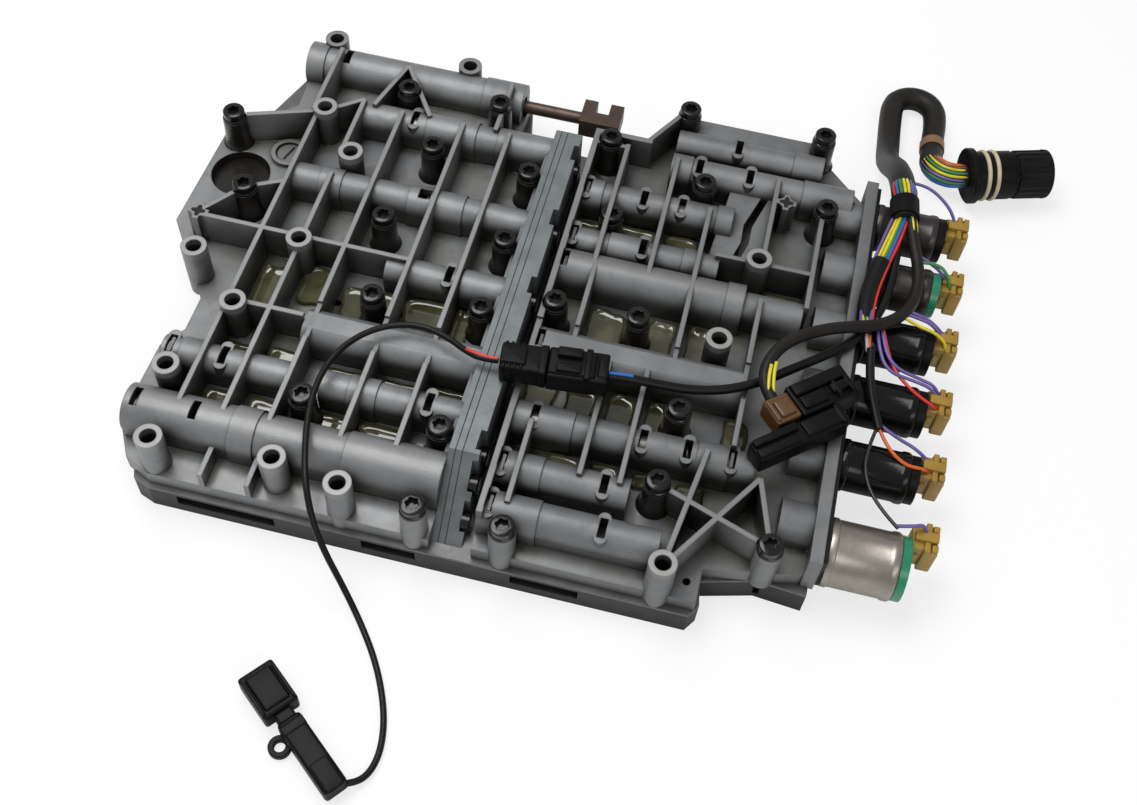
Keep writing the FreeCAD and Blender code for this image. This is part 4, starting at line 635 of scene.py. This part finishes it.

# %% [markdown]
# ## Six-lobe screws
# A screw head is a short turned shape, but its socket has six lobes. The radius of a turned shape
# may also depend on the angle: here it swells by a cosine of six times the angle inside the socket.
# The posts under the screws are painted dark as shade: each one behind the front row gets a thin dark skin.

# %% Screw heads
HEAD_HEIGHT, HEAD_RADIUS, COLLAR_RADIUS, SOCKET_RADIUS, SOCKET_DEPTH = 5.5, 5.6, 6.1, 2.9, 3.0
SOCKET_LOBES, LOBE_SHARE, HEAD_SIDES, POST_SIDES = 6, 0.13, 48, 40
POST_RADIUS, POST_TAPER, FILLET, FILLET_POWER, SHADED_POSTS_BEHIND_Y = 6.3, 0.4, 1.6, 12, -110.0
SCREW_SPOTS = (
    (-189, 63.5, 41.5), (-166, 17.5, 41.5), (-106, 106.5, 41.5), (-56, 109.5, 41.5), (-82, 69.5, 41.5),
    (-29, 65.5, 41.5), (-92, 16.5, 41.5), (-29.5, 18.5, 41.5), (-82, -32.5, 41.5), (-29.5, -26, 41.5),
    (-95, -96, 41.5), (-29.5, -96, 41.5), (-29.5, -138.5, 41.5), (7, 101.5, 41.5), (44, 133.5, 41.5),
    (117.5, 134.5, 41.5), (61, 83.5, 41.5), (18, 53, 37), (125, 83.5, 41.5), (4, -12, 41.5),
    (45, -11.5, 41.5), (74, -58, 41.5), (72, -98.5, 41.5), (11, -138.5, 41.5), (126, -117.5, 41.5),
)


def ring_stack(spot, reach, level, angle):
    """Points (x + r cos a, y + r sin a, z) of upright rings, from the last ring to the first."""
    return np.stack((spot[0] + reach * np.cos(angle), spot[1] + reach * np.sin(angle), level + 0 * angle),
                    -1)[::-1]


def screw_head(spot):
    """Rings from the socket's floor over the rim to the collar: radius r (1 + w lobed cos 6a)."""
    x, _, seat = spot
    rings = (
        (0.0, HEAD_HEIGHT - SOCKET_DEPTH, 0.0), (0.6, HEAD_HEIGHT - SOCKET_DEPTH, 1.0),
        (SOCKET_RADIUS, HEAD_HEIGHT - SOCKET_DEPTH, 1.0), (SOCKET_RADIUS, HEAD_HEIGHT - 0.3, 1.0),
        (SOCKET_RADIUS + 0.35, HEAD_HEIGHT, 0.7), (HEAD_RADIUS - 1.0, HEAD_HEIGHT, 0.0),
        (HEAD_RADIUS - 0.35, HEAD_HEIGHT - 0.25, 0.0), (HEAD_RADIUS, HEAD_HEIGHT - 0.8, 0.0),
        (HEAD_RADIUS, 1.5, 0.0), (COLLAR_RADIUS - 0.1, 1.2, 0.0), (COLLAR_RADIUS, 0.9, 0.0),
        (COLLAR_RADIUS, 0.0, 0.0), (0.0, 0.0, 0.0),
    )
    radius, level, lobed = np.array(rings).T[:, :, None]
    angle = full_turn(HEAD_SIDES) + x
    reach = radius * (1 + LOBE_SHARE * lobed * np.cos(SOCKET_LOBES * angle))
    return ring_stack(spot, reach, seat + level, angle)


def post_shade_skin(spot):
    """A thin skin of painted shade round a post: its radius grows by a power of the depth, as a fillet does.
    """
    seat = spot[2]
    share = np.linspace(0.0, 1.0, 9)
    level = seat - 0.02 - (seat - FLOOR_LEVEL) * share
    radius = POST_RADIUS + POST_TAPER * share + FILLET * share ** FILLET_POWER
    level = np.concatenate((level[:1], level, level[-1:]))[:, None]
    radius = np.concatenate(((0.0,), radius, (0.0,)))[:, None]
    return ring_stack(spot, radius, level, full_turn(POST_SIDES))


# Painted shade: the posts behind the front row get a dark skin.
shaded_post_spots = [spot for spot in SCREW_SPOTS if spot[1] > SHADED_POSTS_BEHIND_Y]
piece_from_grids("painted_shade_posts", [post_shade_skin(spot) for spot in shaded_post_spots], "shade_skin")
piece_from_grids("screw_heads", [screw_head(spot) for spot in SCREW_SPOTS], "black_screw",
                 replaces=("housing_screws",))
print("screw heads:", len(SCREW_SPOTS), "dark posts:", len(shaded_post_spots))

# %% [markdown]
# ## Painted shade in the castings
# The deep round pocket is lined with painted shade, the cast disc has a dark bar across it and a
# dark edge ring as painted shade, and the two star bosses have a star-shaped socket painted dark as
# shade. Thin dark skins on the castings paint all of them.

# %% Painted shade: pocket lining, disc and star sockets
POCKET_SPOT, POCKET_RADIUS, POCKET_FLOOR = (-180.0, 41.5), 15.4, 18.6
DISC_SPOT, DISC_RADIUS, DISC_INNER, DISC_LEVEL = (-160.0, 61.0), 7.0, 6.3, 25.25
BAR_LENGTH, BAR_WIDTH, BAR_HEIGHT, BAR_TURN = 10.0, 1.0, 0.4, 73.0
STAR_SPOTS, STAR_RADIUS, STAR_TOP, STAR_POINTS, STAR_WAVE = ((-182.0, -4.0), (104.0, 83.5)), 2.9, 43.5, 4, 0.3
MARK_SIDES = 64


def ring_skin(spot, rings, wave=0.0):
    """Rings of (radius, height) round an upright axis; the radius may wave: r (1 + w cos 4a)."""
    radius, level = np.array(rings, float).T[:, :, None]
    angle = full_turn(MARK_SIDES)
    return ring_stack(spot, radius * (1 + wave * np.cos(STAR_POINTS * angle)), level, angle)


# Painted shade: dark skins for the pocket, the disc's edge and bar, and the star sockets.
cup = ((0.0, POCKET_FLOOR + 0.2), (POCKET_RADIUS - 0.2, POCKET_FLOOR + 0.2),
       (POCKET_RADIUS - 0.2, FLOOR_LEVEL), (POCKET_RADIUS, FLOOR_LEVEL),
       (POCKET_RADIUS, POCKET_FLOOR + 0.05), (0.0, POCKET_FLOOR + 0.05))
edge = ((DISC_INNER, DISC_LEVEL), (DISC_INNER, DISC_LEVEL + 0.15), (DISC_RADIUS, DISC_LEVEL + 0.15),
        (DISC_RADIUS, DISC_LEVEL), (DISC_INNER, DISC_LEVEL))
star = ((0.0, STAR_TOP + 0.08), (STAR_RADIUS, STAR_TOP + 0.08), (STAR_RADIUS, STAR_TOP - 0.3),
        (0.0, STAR_TOP - 0.3))
bar = block_grid((-BAR_LENGTH / 2, -BAR_WIDTH / 2, 0.0), (BAR_LENGTH / 2, BAR_WIDTH / 2, BAR_HEIGHT), 0.3,
                 spot=(*DISC_SPOT, DISC_LEVEL), turn=BAR_TURN)
marks = [ring_skin(POCKET_SPOT, cup), ring_skin(DISC_SPOT, edge), bar]
marks += [ring_skin(spot, star, STAR_WAVE) for spot in STAR_SPOTS]
piece_from_grids("painted_shade_marks", marks, "shade_skin")
print("marks:", len(marks))

# %% [markdown]
# ## Return springs
# Behind each spool valve sits a coil spring with one dead turn at either end. The solid in the
# frame has straight runs, so a smooth helix takes its place. The share of its length that the spring
# would keep, squashed by a full slide of the spool, is worked out and printed.

# %% Coil springs
WIRE, LIVE_TURNS, DEAD_PITCH = 0.55, 4.0, 1.2
END_GAP, SPOOL_TRAVEL, SQUEEZE_GAP = 0.56, 8.0, 0.3
STEPS_PER_TURN, WIRE_SIDES = 32, 12


def helix_grid(low, high):
    """Round wire of radius w along (x(t), R cos t, R sin t); x(t) rises slowly in the dead end turns."""
    middle = (low + high) / 2
    reach = (high[1] - low[1]) / 2 - WIRE
    rise = high[0] - low[0] - 2 * WIRE
    turns = np.linspace(0.0, LIVE_TURNS + 2, int((LIVE_TURNS + 2) * STEPS_PER_TURN) + 1)
    advance = np.interp(turns, (0.0, 1.0, LIVE_TURNS + 1, LIVE_TURNS + 2),
                        (0.0, DEAD_PITCH, rise - DEAD_PITCH, rise))
    angle = 2 * np.pi * turns
    out = np.stack((0 * angle, np.cos(angle), np.sin(angle)), -1)
    spine = np.array((low[0] + WIRE, middle[1], middle[2])) + reach * out
    spine[:, 0] += advance
    along = np.gradient(spine, axis=0)
    along /= np.linalg.norm(along, axis=1, keepdims=True)
    across = np.cross(along, out)
    turn = full_turn(WIRE_SIDES)[:, None]
    tube = spine[:, None] + WIRE * (np.cos(turn) * out[:, None] + np.sin(turn) * across[:, None])
    ends = np.repeat(spine[[0, -1], None], WIRE_SIDES, 1)
    return np.concatenate((ends[:1], tube, ends[1:]))


def make_coil(name):
    """Works out the share (1 - (travel - gap to the spool + clearance) / length) of its length that the coil
    would keep, and prints it.
    """
    low, high = np.array(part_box(name + "_spring"), float) / MM
    spool_low, spool_high = np.array(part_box(name + "_spool"), float) / MM
    coil = piece_from_grids(name + "_coil", [helix_grid(low, high)], "spring_steel",
                            replaces=(name + "_spring",))
    middle = (low + high) / 2
    spool_on_left = spool_low[0] < low[0]
    closed_end = high[0] + END_GAP if spool_on_left else low[0] - END_GAP
    head_start = low[0] - spool_high[0] if spool_on_left else spool_low[0] - high[0]
    free_length = high[0] - low[0] + END_GAP
    keep = 1 - (SPOOL_TRAVEL - head_start + SQUEEZE_GAP) / free_length
    anchor = (closed_end * MM, middle[1] * MM, middle[2] * MM)
    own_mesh(coil)
    print(coil.name, "keeps", round(keep, 3), "of", round(free_length, 1), "mm")


for name in ("shift", "pressure", "clutch", "converter", "brake"):
    make_coil(name)

# %% [markdown]
# ## Solenoids
# Each can is a deep-drawn shell: a turned profile with a rolled rim at both ends. The sixth can is
# wider and lies a little lower than its own nose.

# %% Cans
CAN_LEFT, FIRST_ROW, PITCH, SOLENOID_LEVEL = 152.0, 94.5, 37.7, 27.0
CAN_RADIUS, LARGE_RADIUS, LARGE_DROP, CAN_SIDES = 12.5, 16.0, (0.0, -8.0, -3.0), 56
CAN_FINISHES = ("grey_can", "grey_can", "black_can", "black_can", "black_can", "silver_can")
CAN_ROWS = [FIRST_ROW - PITCH * number for number in range(len(CAN_FINISHES))]


def can_profile(radius):
    """Half section of a can: nose, flat shoulder, rolled rim, body, crimp and dished end."""
    return ((-14.0, 0.0), (-14.0, 7.4), (-13.4, 8.0), (-0.2, 8.0), (-0.2, radius - 1.2), (0.2, radius - 0.3),
            (1.0, radius), (3.0, radius), (3.5, radius - 0.5), (4.2, radius - 0.55), (27.0, radius - 0.55),
            (27.8, radius - 0.2), (28.6, radius), (30.6, radius), (31.6, radius - 0.5), (32.0, radius - 1.6),
            (31.4, radius - 2.4), (31.2, 0.0))


def make_solenoids():
    """One turned piece per can; the nose of the large one keeps its place while the rest drops."""
    for number, (material, row) in enumerate(zip(CAN_FINISHES, CAN_ROWS), start=1):
        large = material == "silver_can"
        profile = can_profile(LARGE_RADIUS if large else CAN_RADIUS)
        grid = turned_grid(profile, CAN_SIDES, (CAN_LEFT, row, SOLENOID_LEVEL))
        if large:
            past_nose = np.array(profile)[:, 0] > -0.5
            grid[past_nose] += LARGE_DROP
        piece_from_grids("can_%d" % number, [grid], material, replaces=("solenoid_%d" % number,))


make_solenoids()
print("cans in rows:", [round(row, 1) for row in CAN_ROWS])

# %% [markdown]
# ## Plugs
# Moulded plastic parts are groups of rounded blocks: a body, a flange, ears and a latch. Each group
# is built in its own straight frame, and turned into place together.

# %% The amber plugs of the solenoids
PLUG_SHIFT = 4.0
PLUG_PARTS = (
    (188.0, 195.0, -6.0, 6.0, -7.5, 7.5, 0.9), (193.5, 200.0, -7.5, 7.5, -9.0, 7.2, 0.9),
    (193.8, 196.4, -7.5, 7.5, 6.4, 9.0, 0.5), (189.0, 199.6, -2.5, 2.5, 6.0, 10.4, 0.6),
    (189.4, 192.0, -7.2, 7.2, -3.0, 3.0, 0.5), (197.0, 199.8, -6.6, -3.2, 6.0, 9.2, 0.5),
    (197.0, 199.8, 3.2, 6.6, 6.0, 9.2, 0.5),
)


def blocks(parts, spot, turn=0.0):
    """Rounded blocks from (x0, x1, y0, y1, z0, z1, corner) in a local frame."""
    return [block_grid((x0, y0, z0), (x1, y1, z1), corner, spot=spot, turn=turn)
            for x0, x1, y0, y1, z0, z1, corner in parts]


for number, row in enumerate(CAN_ROWS, start=1):
    piece_from_grids("amber_plug_%d" % number, blocks(PLUG_PARTS, (0.0, row + PLUG_SHIFT, SOLENOID_LEVEL)),
                     "amber_plastic", replaces=("solenoid_plug_%d" % number,))
print("blocks in each plug:", len(PLUG_PARTS))

# %% [markdown]
# ## Connectors
# The in-line pair lies over the end cover: a plug with a ribbed grip, and a socket with a latch. Two
# black blocks and a brown plug lie turned at the right, and the speed sensor on the table.

# %% In-line pair, blocks and sensor
INLINE_SPOT, INLINE_TURN = (14.0, -57.0, 47.3), 6.0
SWITCH_SPOT, SOCKET_SPOT, BLOCK_TURN = (130.0, -52.2, 40.3), (115.0, -80.5, 41.3), 41.0
SENSOR_SPOT, SENSOR_TURN = (-78.5, -214.5, 0.0), -38.5
EYELET_SPOT, EYELET_SIDES = (33.0, -8.6), 36


def make_inline_pair():
    """The plug has a ribbed grip; the socket has a raised latch with a slot either side."""
    grip = [(-23.5 + 2.6 * step, -22.1 + 2.6 * step, -7.6, 7.6, 1.0, 12.6, 0.5) for step in range(4)]
    plug = piece_from_grids("inline_plug_shell", blocks(
        [(-25.0, -3.0, -7.5, 7.5, 0.0, 12.0, 1.2), (-25.0, -13.0, -5.0, 5.0, 10.0, 13.5, 0.8),
         (-7.0, -3.2, -8.1, 8.1, 0.4, 12.4, 0.8)] + grip, INLINE_SPOT, INLINE_TURN), "black_plastic",
        replaces=("inline_plug",))
    socket = piece_from_grids("inline_socket_shell", blocks(
        [(-3.0, 25.0, -8.5, 8.5, 0.0, 11.6, 1.2), (-2.6, 19.0, -7.0, 7.0, 9.0, 13.0, 1.0),
         (1.0, 12.5, 1.2, 6.2, 12.0, 16.0, 0.7), (1.0, 12.5, -6.4, -1.6, 12.0, 14.6, 0.7),
         (14.0, 17.0, -8.4, 8.4, 2.0, 13.4, 0.6), (20.0, 25.0, -6.0, 6.0, 2.0, 12.4, 1.2)],
        INLINE_SPOT, INLINE_TURN), "black_plastic", replaces=("inline_socket",))
    return plug, socket


def make_side_blocks():
    """The switch block with a window frame on top, the long socket block, and the brown plug."""
    switch = piece_from_grids("switch_block_shell", blocks(
        [(0.0, 31.0, 0.0, 17.0, 0.0, 13.4, 1.0), (1.5, 29.5, 9.5, 15.8, 12.0, 16.0, 0.9),
         (2.0, 15.0, 2.0, 8.6, 12.0, 15.4, 0.8), (18.0, 28.0, 3.4, 8.0, 12.0, 16.6, 0.7),
         (19.4, 21.0, 1.0, 9.0, 12.6, 17.0, 0.4), (26.2, 27.8, 1.0, 9.0, 12.6, 17.0, 0.4)],
        SWITCH_SPOT, BLOCK_TURN), "black_plastic", replaces=("switch_block",))
    socket = piece_from_grids("socket_block_shell", blocks(
        [(0.0, 48.0, 0.0, 11.0, 0.0, 10.6, 1.1), (0.8, 24.0, 6.6, 10.4, 9.0, 13.0, 0.6),
         (0.6, 22.0, 1.0, 5.4, 9.6, 11.8, 0.5), (26.0, 46.0, 1.4, 9.6, 9.6, 12.2, 0.8),
         (44.6, 47.6, 0.4, 10.6, 1.0, 12.6, 0.6)], SOCKET_SPOT, BLOCK_TURN), "black_plastic",
        replaces=("socket_block",))
    amber = piece_from_grids("amber_plug_shell", blocks(
        [(-13.0, -0.2, 1.0, 15.0, 2.0, 13.0, 1.0), (-10.0, -2.0, 3.0, 12.0, 11.0, 14.8, 0.8),
         (-12.4, -10.8, 2.0, 14.0, 11.0, 14.2, 0.4)], SWITCH_SPOT, BLOCK_TURN), "brown_plastic",
        replaces=("amber_plug",))
    return switch, socket, amber


def make_speed_sensor():
    """Wide head with side ribs, a waist, a slim body, and an eyelet with a real hole."""
    shells = blocks(
        [(0.0, 22.5, -8.5, 8.5, 0.4, 11.0, 1.4), (2.5, 20.0, -6.0, 6.0, 9.0, 12.0, 1.0),
         (3.0, 21.0, -8.3, -6.6, 8.0, 12.0, 0.5), (3.0, 21.0, 6.6, 8.3, 8.0, 12.0, 0.5),
         (22.0, 28.0, -4.2, 4.2, 0.6, 9.0, 1.2), (27.0, 64.5, -5.6, 5.6, 0.0, 10.6, 1.6),
         (29.0, 34.0, -5.6, 5.6, 8.6, 11.0, 0.8), (50.0, 65.0, -4.4, 4.4, 8.6, 10.8, 1.4)],
        SENSOR_SPOT, SENSOR_TURN)
    profile = ((2.5, 0.1), (2.5, 3.0), (2.8, 3.3), (4.6, 3.3), (5.0, 3.0), (5.0, 0.4), (4.9, 0.1), (2.5, 0.1))
    radius, level = np.array(profile).T[:, :, None]
    ring = ring_stack(EYELET_SPOT, radius, level, full_turn(EYELET_SIDES))
    shells.append(moved(ring, SENSOR_SPOT, SENSOR_TURN))
    return piece_from_grids("speed_sensor_shell", shells, "black_plastic", replaces=("speed_sensor",))


inline_plug, inline_socket = make_inline_pair()
switch_block, socket_block, amber_plug = make_side_blocks()
speed_sensor = make_speed_sensor()
print("faces of the sensor:", len(speed_sensor.data.polygons))

# %% [markdown]
# ## Round connector
# The connector is a turned shell with grip ribs, made by a radius that waves with the angle, a
# flange with two lobes, two pale seal rings in grooves, and pins inside its mouth.

# %% Round connector and its rings
CONNECTOR_SPOT, CONNECTOR_TURN = (199.7, 157.0, 16.0), 18.0
BARREL = (
    (0.0, 0.0), (0.0, 12.0), (4.6, 12.0), (4.6, 13.3), (7.6, 13.4), (7.8, 11.6), (10.4, 11.6), (10.6, 13.4),
    (12.8, 13.4), (13.0, 11.6), (15.6, 11.6), (15.8, 13.4), (24.0, 13.4), (24.8, 12.2), (26.5, 12.2),
    (27.0, 13.1), (43.0, 13.1), (43.6, 13.4), (45.6, 13.4), (46.0, 12.9), (46.0, 10.9), (45.6, 10.6),
    (36.0, 10.6), (36.0, 0.0),
)
FLANGE = ((0.2, 0.0), (0.2, 15.4), (0.7, 16.0), (4.0, 16.0), (4.5, 15.5), (4.6, 0.0))
PIN = ((36.0, 0.0), (36.0, 0.9), (42.5, 0.9), (43.2, 0.4), (43.3, 0.0))
PINS, PIN_CIRCLE, GRIP_RIBS = 10, 6.6, 20
SEAL_PLACES, SEAL_MIDDLE, SEAL_HALF_WIDTH, SEAL_HALF_HEIGHT = (9.1, 14.3), 12.9, 1.25, 1.35


def grip(angle, distance):
    """1 plus or minus a step, by the sign of the cosine of many times the angle, on the grip alone."""
    wave = 0.022 * np.sign(np.cos(GRIP_RIBS * angle))
    return 1 + np.where((distance > 26.0) & (distance < 44.0), wave, 0.0)


def flange_lobes(angle, _):
    """Full radius at the two lobes, less between them: 1 - w |sin a|^3."""
    return 1 - 0.16 * np.abs(np.sin(angle)) ** 3


def make_round_connector():
    """Turned shell, ribbed barrel end, lobed flange and a ring of pins; then the two seal rings."""
    grids = [turned_grid(BARREL, 80, CONNECTOR_SPOT, CONNECTOR_TURN, grip),
             turned_grid(FLANGE, 72, CONNECTOR_SPOT, CONNECTOR_TURN, flange_lobes)]
    for angle in full_turn(PINS):
        pin = turned_grid(PIN, 10, (0.0, PIN_CIRCLE * math.cos(angle), PIN_CIRCLE * math.sin(angle)))
        grids.append(moved(pin, CONNECTOR_SPOT, CONNECTOR_TURN))
    shell = piece_from_grids("round_connector_shell", grids, "black_plastic",
                             replaces=("bulkhead_connector",))
    section = full_turn(16)
    rings = []
    for place in SEAL_PLACES:
        profile = np.stack((place + SEAL_HALF_WIDTH * np.cos(section),
                            SEAL_MIDDLE + SEAL_HALF_HEIGHT * np.sin(section)), -1)
        rings.append(turned_grid(np.vstack((profile, profile[:1])), 64, CONNECTOR_SPOT, CONNECTOR_TURN))
    seals = piece_from_grids("pale_seal_rings", rings, "seal", replaces=("connector_rings",))
    return shell, seals


round_connector, seal_rings = make_round_connector()
print("faces of the connector:", len(round_connector.data.polygons))

# %% [markdown]
# ## Looms
# Four cords are made along their routes. The long loom starts over the solenoids, drops
# to the table, turns back and ends in the round connector.

# %% Cords
make_cord("sensor_lead", LEAD_ROUTE, 3.0, "lead_sheath")
make_cord("link_lead", LINK_ROUTE[::-1], 4.5, "lead_sheath")
make_cord("branch_loom", BRANCH_ROUTE[::-1], 6.0, "loom_sleeve")
make_cord("main_loom", LOOM_ROUTE, 13.0, "loom_sleeve")
print("cords: 4")

# %% [markdown]
# ## Coloured leads
# Each solenoid has thin leads. They leave the loom beside the cans, arch over and drop into the
# plug's top. Others run on under the looms, and show where a sleeve starts or ends.

# %% Colours and routes of single leads
LEAD_RADIUS = 0.85
LEAD_COLOURS = {
    "violet": (0.13, 0.09, 0.3, 1), "yellow": (0.62, 0.52, 0.02, 1), "red": (0.55, 0.02, 0.015, 1),
    "green": (0.03, 0.2, 0.05, 1), "orange": (0.6, 0.1, 0.01, 1), "blue": (0.01, 0.12, 0.4, 1),
    "black": (0.012, 0.012, 0.012, 1), "brown": (0.16, 0.07, 0.03, 1), "white": (0.4, 0.36, 0.36, 1),
}
for name, colour in LEAD_COLOURS.items():
    FINISHES["lead_" + name] = plain_finish("lead_" + name, colour, 0.35, grain=900.0, coat=0.2, edge=0.0001)

SINGLE_LEADS = (
    ("violet", ((167, 113, 46), (174, 112, 47), (184, 107, 44), (191, 102, 39), (194, 98, 33))),
    ("violet", ((172, 66, 45), (180, 63, 44), (188, 61, 40), (194, 59, 33))),
    ("green", ((172, 60, 45), (183, 63, 45), (191, 60, 41), (194, 56, 33))),
    ("violet", ((171, 29, 44), (177, 29, 43), (187, 28, 40), (194, 26, 33))),
    ("violet", ((170, 27, 44), (177, 26, 44), (187, 26, 41), (194, 23, 33))),
    ("yellow", ((170, 25, 44), (177, 21, 44), (187, 21, 42), (195, 19, 36), (194, 17, 32))),
    ("violet", ((158, 20, 44), (160, 6, 43), (166, -8, 41), (180, -10, 41), (190, -11, 39), (194, -13, 33))),
    ("violet", ((160, 20, 44), (163, 4, 43), (170, -5, 41), (182, -8, 41), (191, -9, 39), (194, -11, 33))),
    ("red", ((161, 16, 44), (165, 4, 42), (170, -6, 40), (180, -16, 40), (190, -20, 38), (194, -18, 33))),
    ("orange", ((155, 14, 44), (156, 4, 43), (157, -4, 43))),
    ("white", ((153, 14, 45), (154.5, 4, 43.5), (156.5, -4, 43))),
    ("orange", ((165.5, -41, 42), (170, -50, 41), (180, -58, 40), (190, -56, 38), (194, -54, 32))),
    ("violet", ((166, -40, 42), (174, -45, 42), (186, -48, 40), (194, -50, 33))),
    ("black", ((165, -42, 42), (161, -58, 41), (164, -74, 41), (173, -86, 41), (180, -92, 41))),
    ("violet", ((179, -91, 41), (186, -90, 42), (193, -86, 40), (195, -90, 33))),
    ("yellow", ((161, 86, 48), (157, 70, 47), (152, 48, 44.5), (150, 26, 45), (151, 10.5, 48))),
    ("yellow", ((162, 85, 49), (158.5, 69, 48), (153.5, 47, 45), (151.5, 26, 45), (153, 11, 48))),
    ("red", ((166, 86, 49), (164, 72, 48.5), (159, 52, 46), (155, 30, 45.5), (155, 12, 48))),
    ("blue", ((164.5, 86, 49.5), (162, 72, 48.5), (157, 50, 45.5), (154, 28, 45.5), (154, 11, 48))),
    ("green", ((163, 86, 49), (160, 70, 48), (155.5, 48, 45), (152.5, 27, 45), (152, 11, 48))),
    ("yellow", ((167, 86, 50.5), (169, 79, 50.8), (170.8, 69, 46.6))),
    ("yellow", ((169, 86, 49), (171.4, 79, 49.5), (171.6, 68, 46))),
    ("violet", ((159, 87, 47.5), (155.5, 72, 46), (151, 50, 44), (149, 28, 45), (150, 10, 48))),
    ("red", ((-12, -59.4, 54.4), (-20, -60.2, 54.2), (-28, -56.8, 52.7))),
    ("blue", ((39, -54.2, 55.2), (44, -53.4, 55.2), (50, -52.2, 54.2))),
    ("yellow", ((112.5, -45, 52), (110.5, -37, 55), (111, -30, 56))),
    ("yellow", ((114.5, -43, 52), (112.5, -35, 55.5), (113, -28, 56))),
)
print("single leads:", len(SINGLE_LEADS))

# %% [markdown]
# ## Leads side by side
# Where the sleeve has a window, and where it ends at the round connector, the leads lie side by side
# round the loom. Each one follows the loom's own route, moved out at its own angle. Two short
# sleeves hold the single leads together between the cans.

# %% Strands and short sleeves
STRAND_STEP, STRAND_RADIUS, STRAND_END = 18.0, 6.3, 0.86
WINDOW = ((163.4, 96, 47.4), (162.7, 100, 47.2), (161.9, 104, 46.9), (161.3, 108, 46.4))
WINDOW_COLOURS = ("red", "blue", "violet", "yellow", "yellow", "green", "blue", "red")
BARE_END = LOOM_ROUTE[-5:]
END_COLOURS = ("blue", "blue", "green", "violet", "yellow", "green", "yellow", "brown", "orange", "orange",
               "brown")
SLEEVES = {
    "lead_sleeve": (2.2, ((157, 1, 43.5), (158, -11, 42.7), (160, -23, 42.5), (163, -34, 42.5),
                          (166, -43, 42))),
    "bundle_sleeve": (4.5, ((156.2, 56, 44.9), (153.8, 46, 43.8), (152, 34, 43.8), (151.8, 22, 43.8),
                            (152.4, 9, 42.8))),
}


def strands(route, colours, first_angle):
    """The route plus a radius times (cos a side + sin a up), with one angle for each lead.

    Angle 0 points to the right of the route's direction, and 90 degrees points up. The ends sink a
    little into the loom."""
    route = np.array(route, float)
    axis = np.gradient(route, axis=0)
    axis /= np.linalg.norm(axis, axis=1, keepdims=True)
    side = np.cross(axis, (0.0, 0.0, 1.0))
    side /= np.linalg.norm(side, axis=1, keepdims=True)
    up = np.cross(side, axis)
    reach = np.full((len(route), 1), STRAND_RADIUS)
    reach[[0, -1]] *= STRAND_END
    angles = np.radians(first_angle + STRAND_STEP * np.arange(len(colours)))
    return tuple((colour, route + reach * (math.cos(angle) * side + math.sin(angle) * up))
                 for colour, angle in zip(colours, angles))


THIN_LEADS = SINGLE_LEADS + strands(WINDOW, WINDOW_COLOURS, 27.0) + strands(BARE_END, END_COLOURS, -32.0)
for number, (colour, points) in enumerate(THIN_LEADS, start=1):
    lead = route_curve("thin_lead_%02d" % number, points, LEAD_RADIUS, FINISHES["lead_" + colour])
for name, (radius, points) in SLEEVES.items():
    sleeve = route_curve(name, points, radius, FINISHES["lead_sheath"])
print("thin leads:", len(THIN_LEADS), "sleeves:", len(SLEEVES))
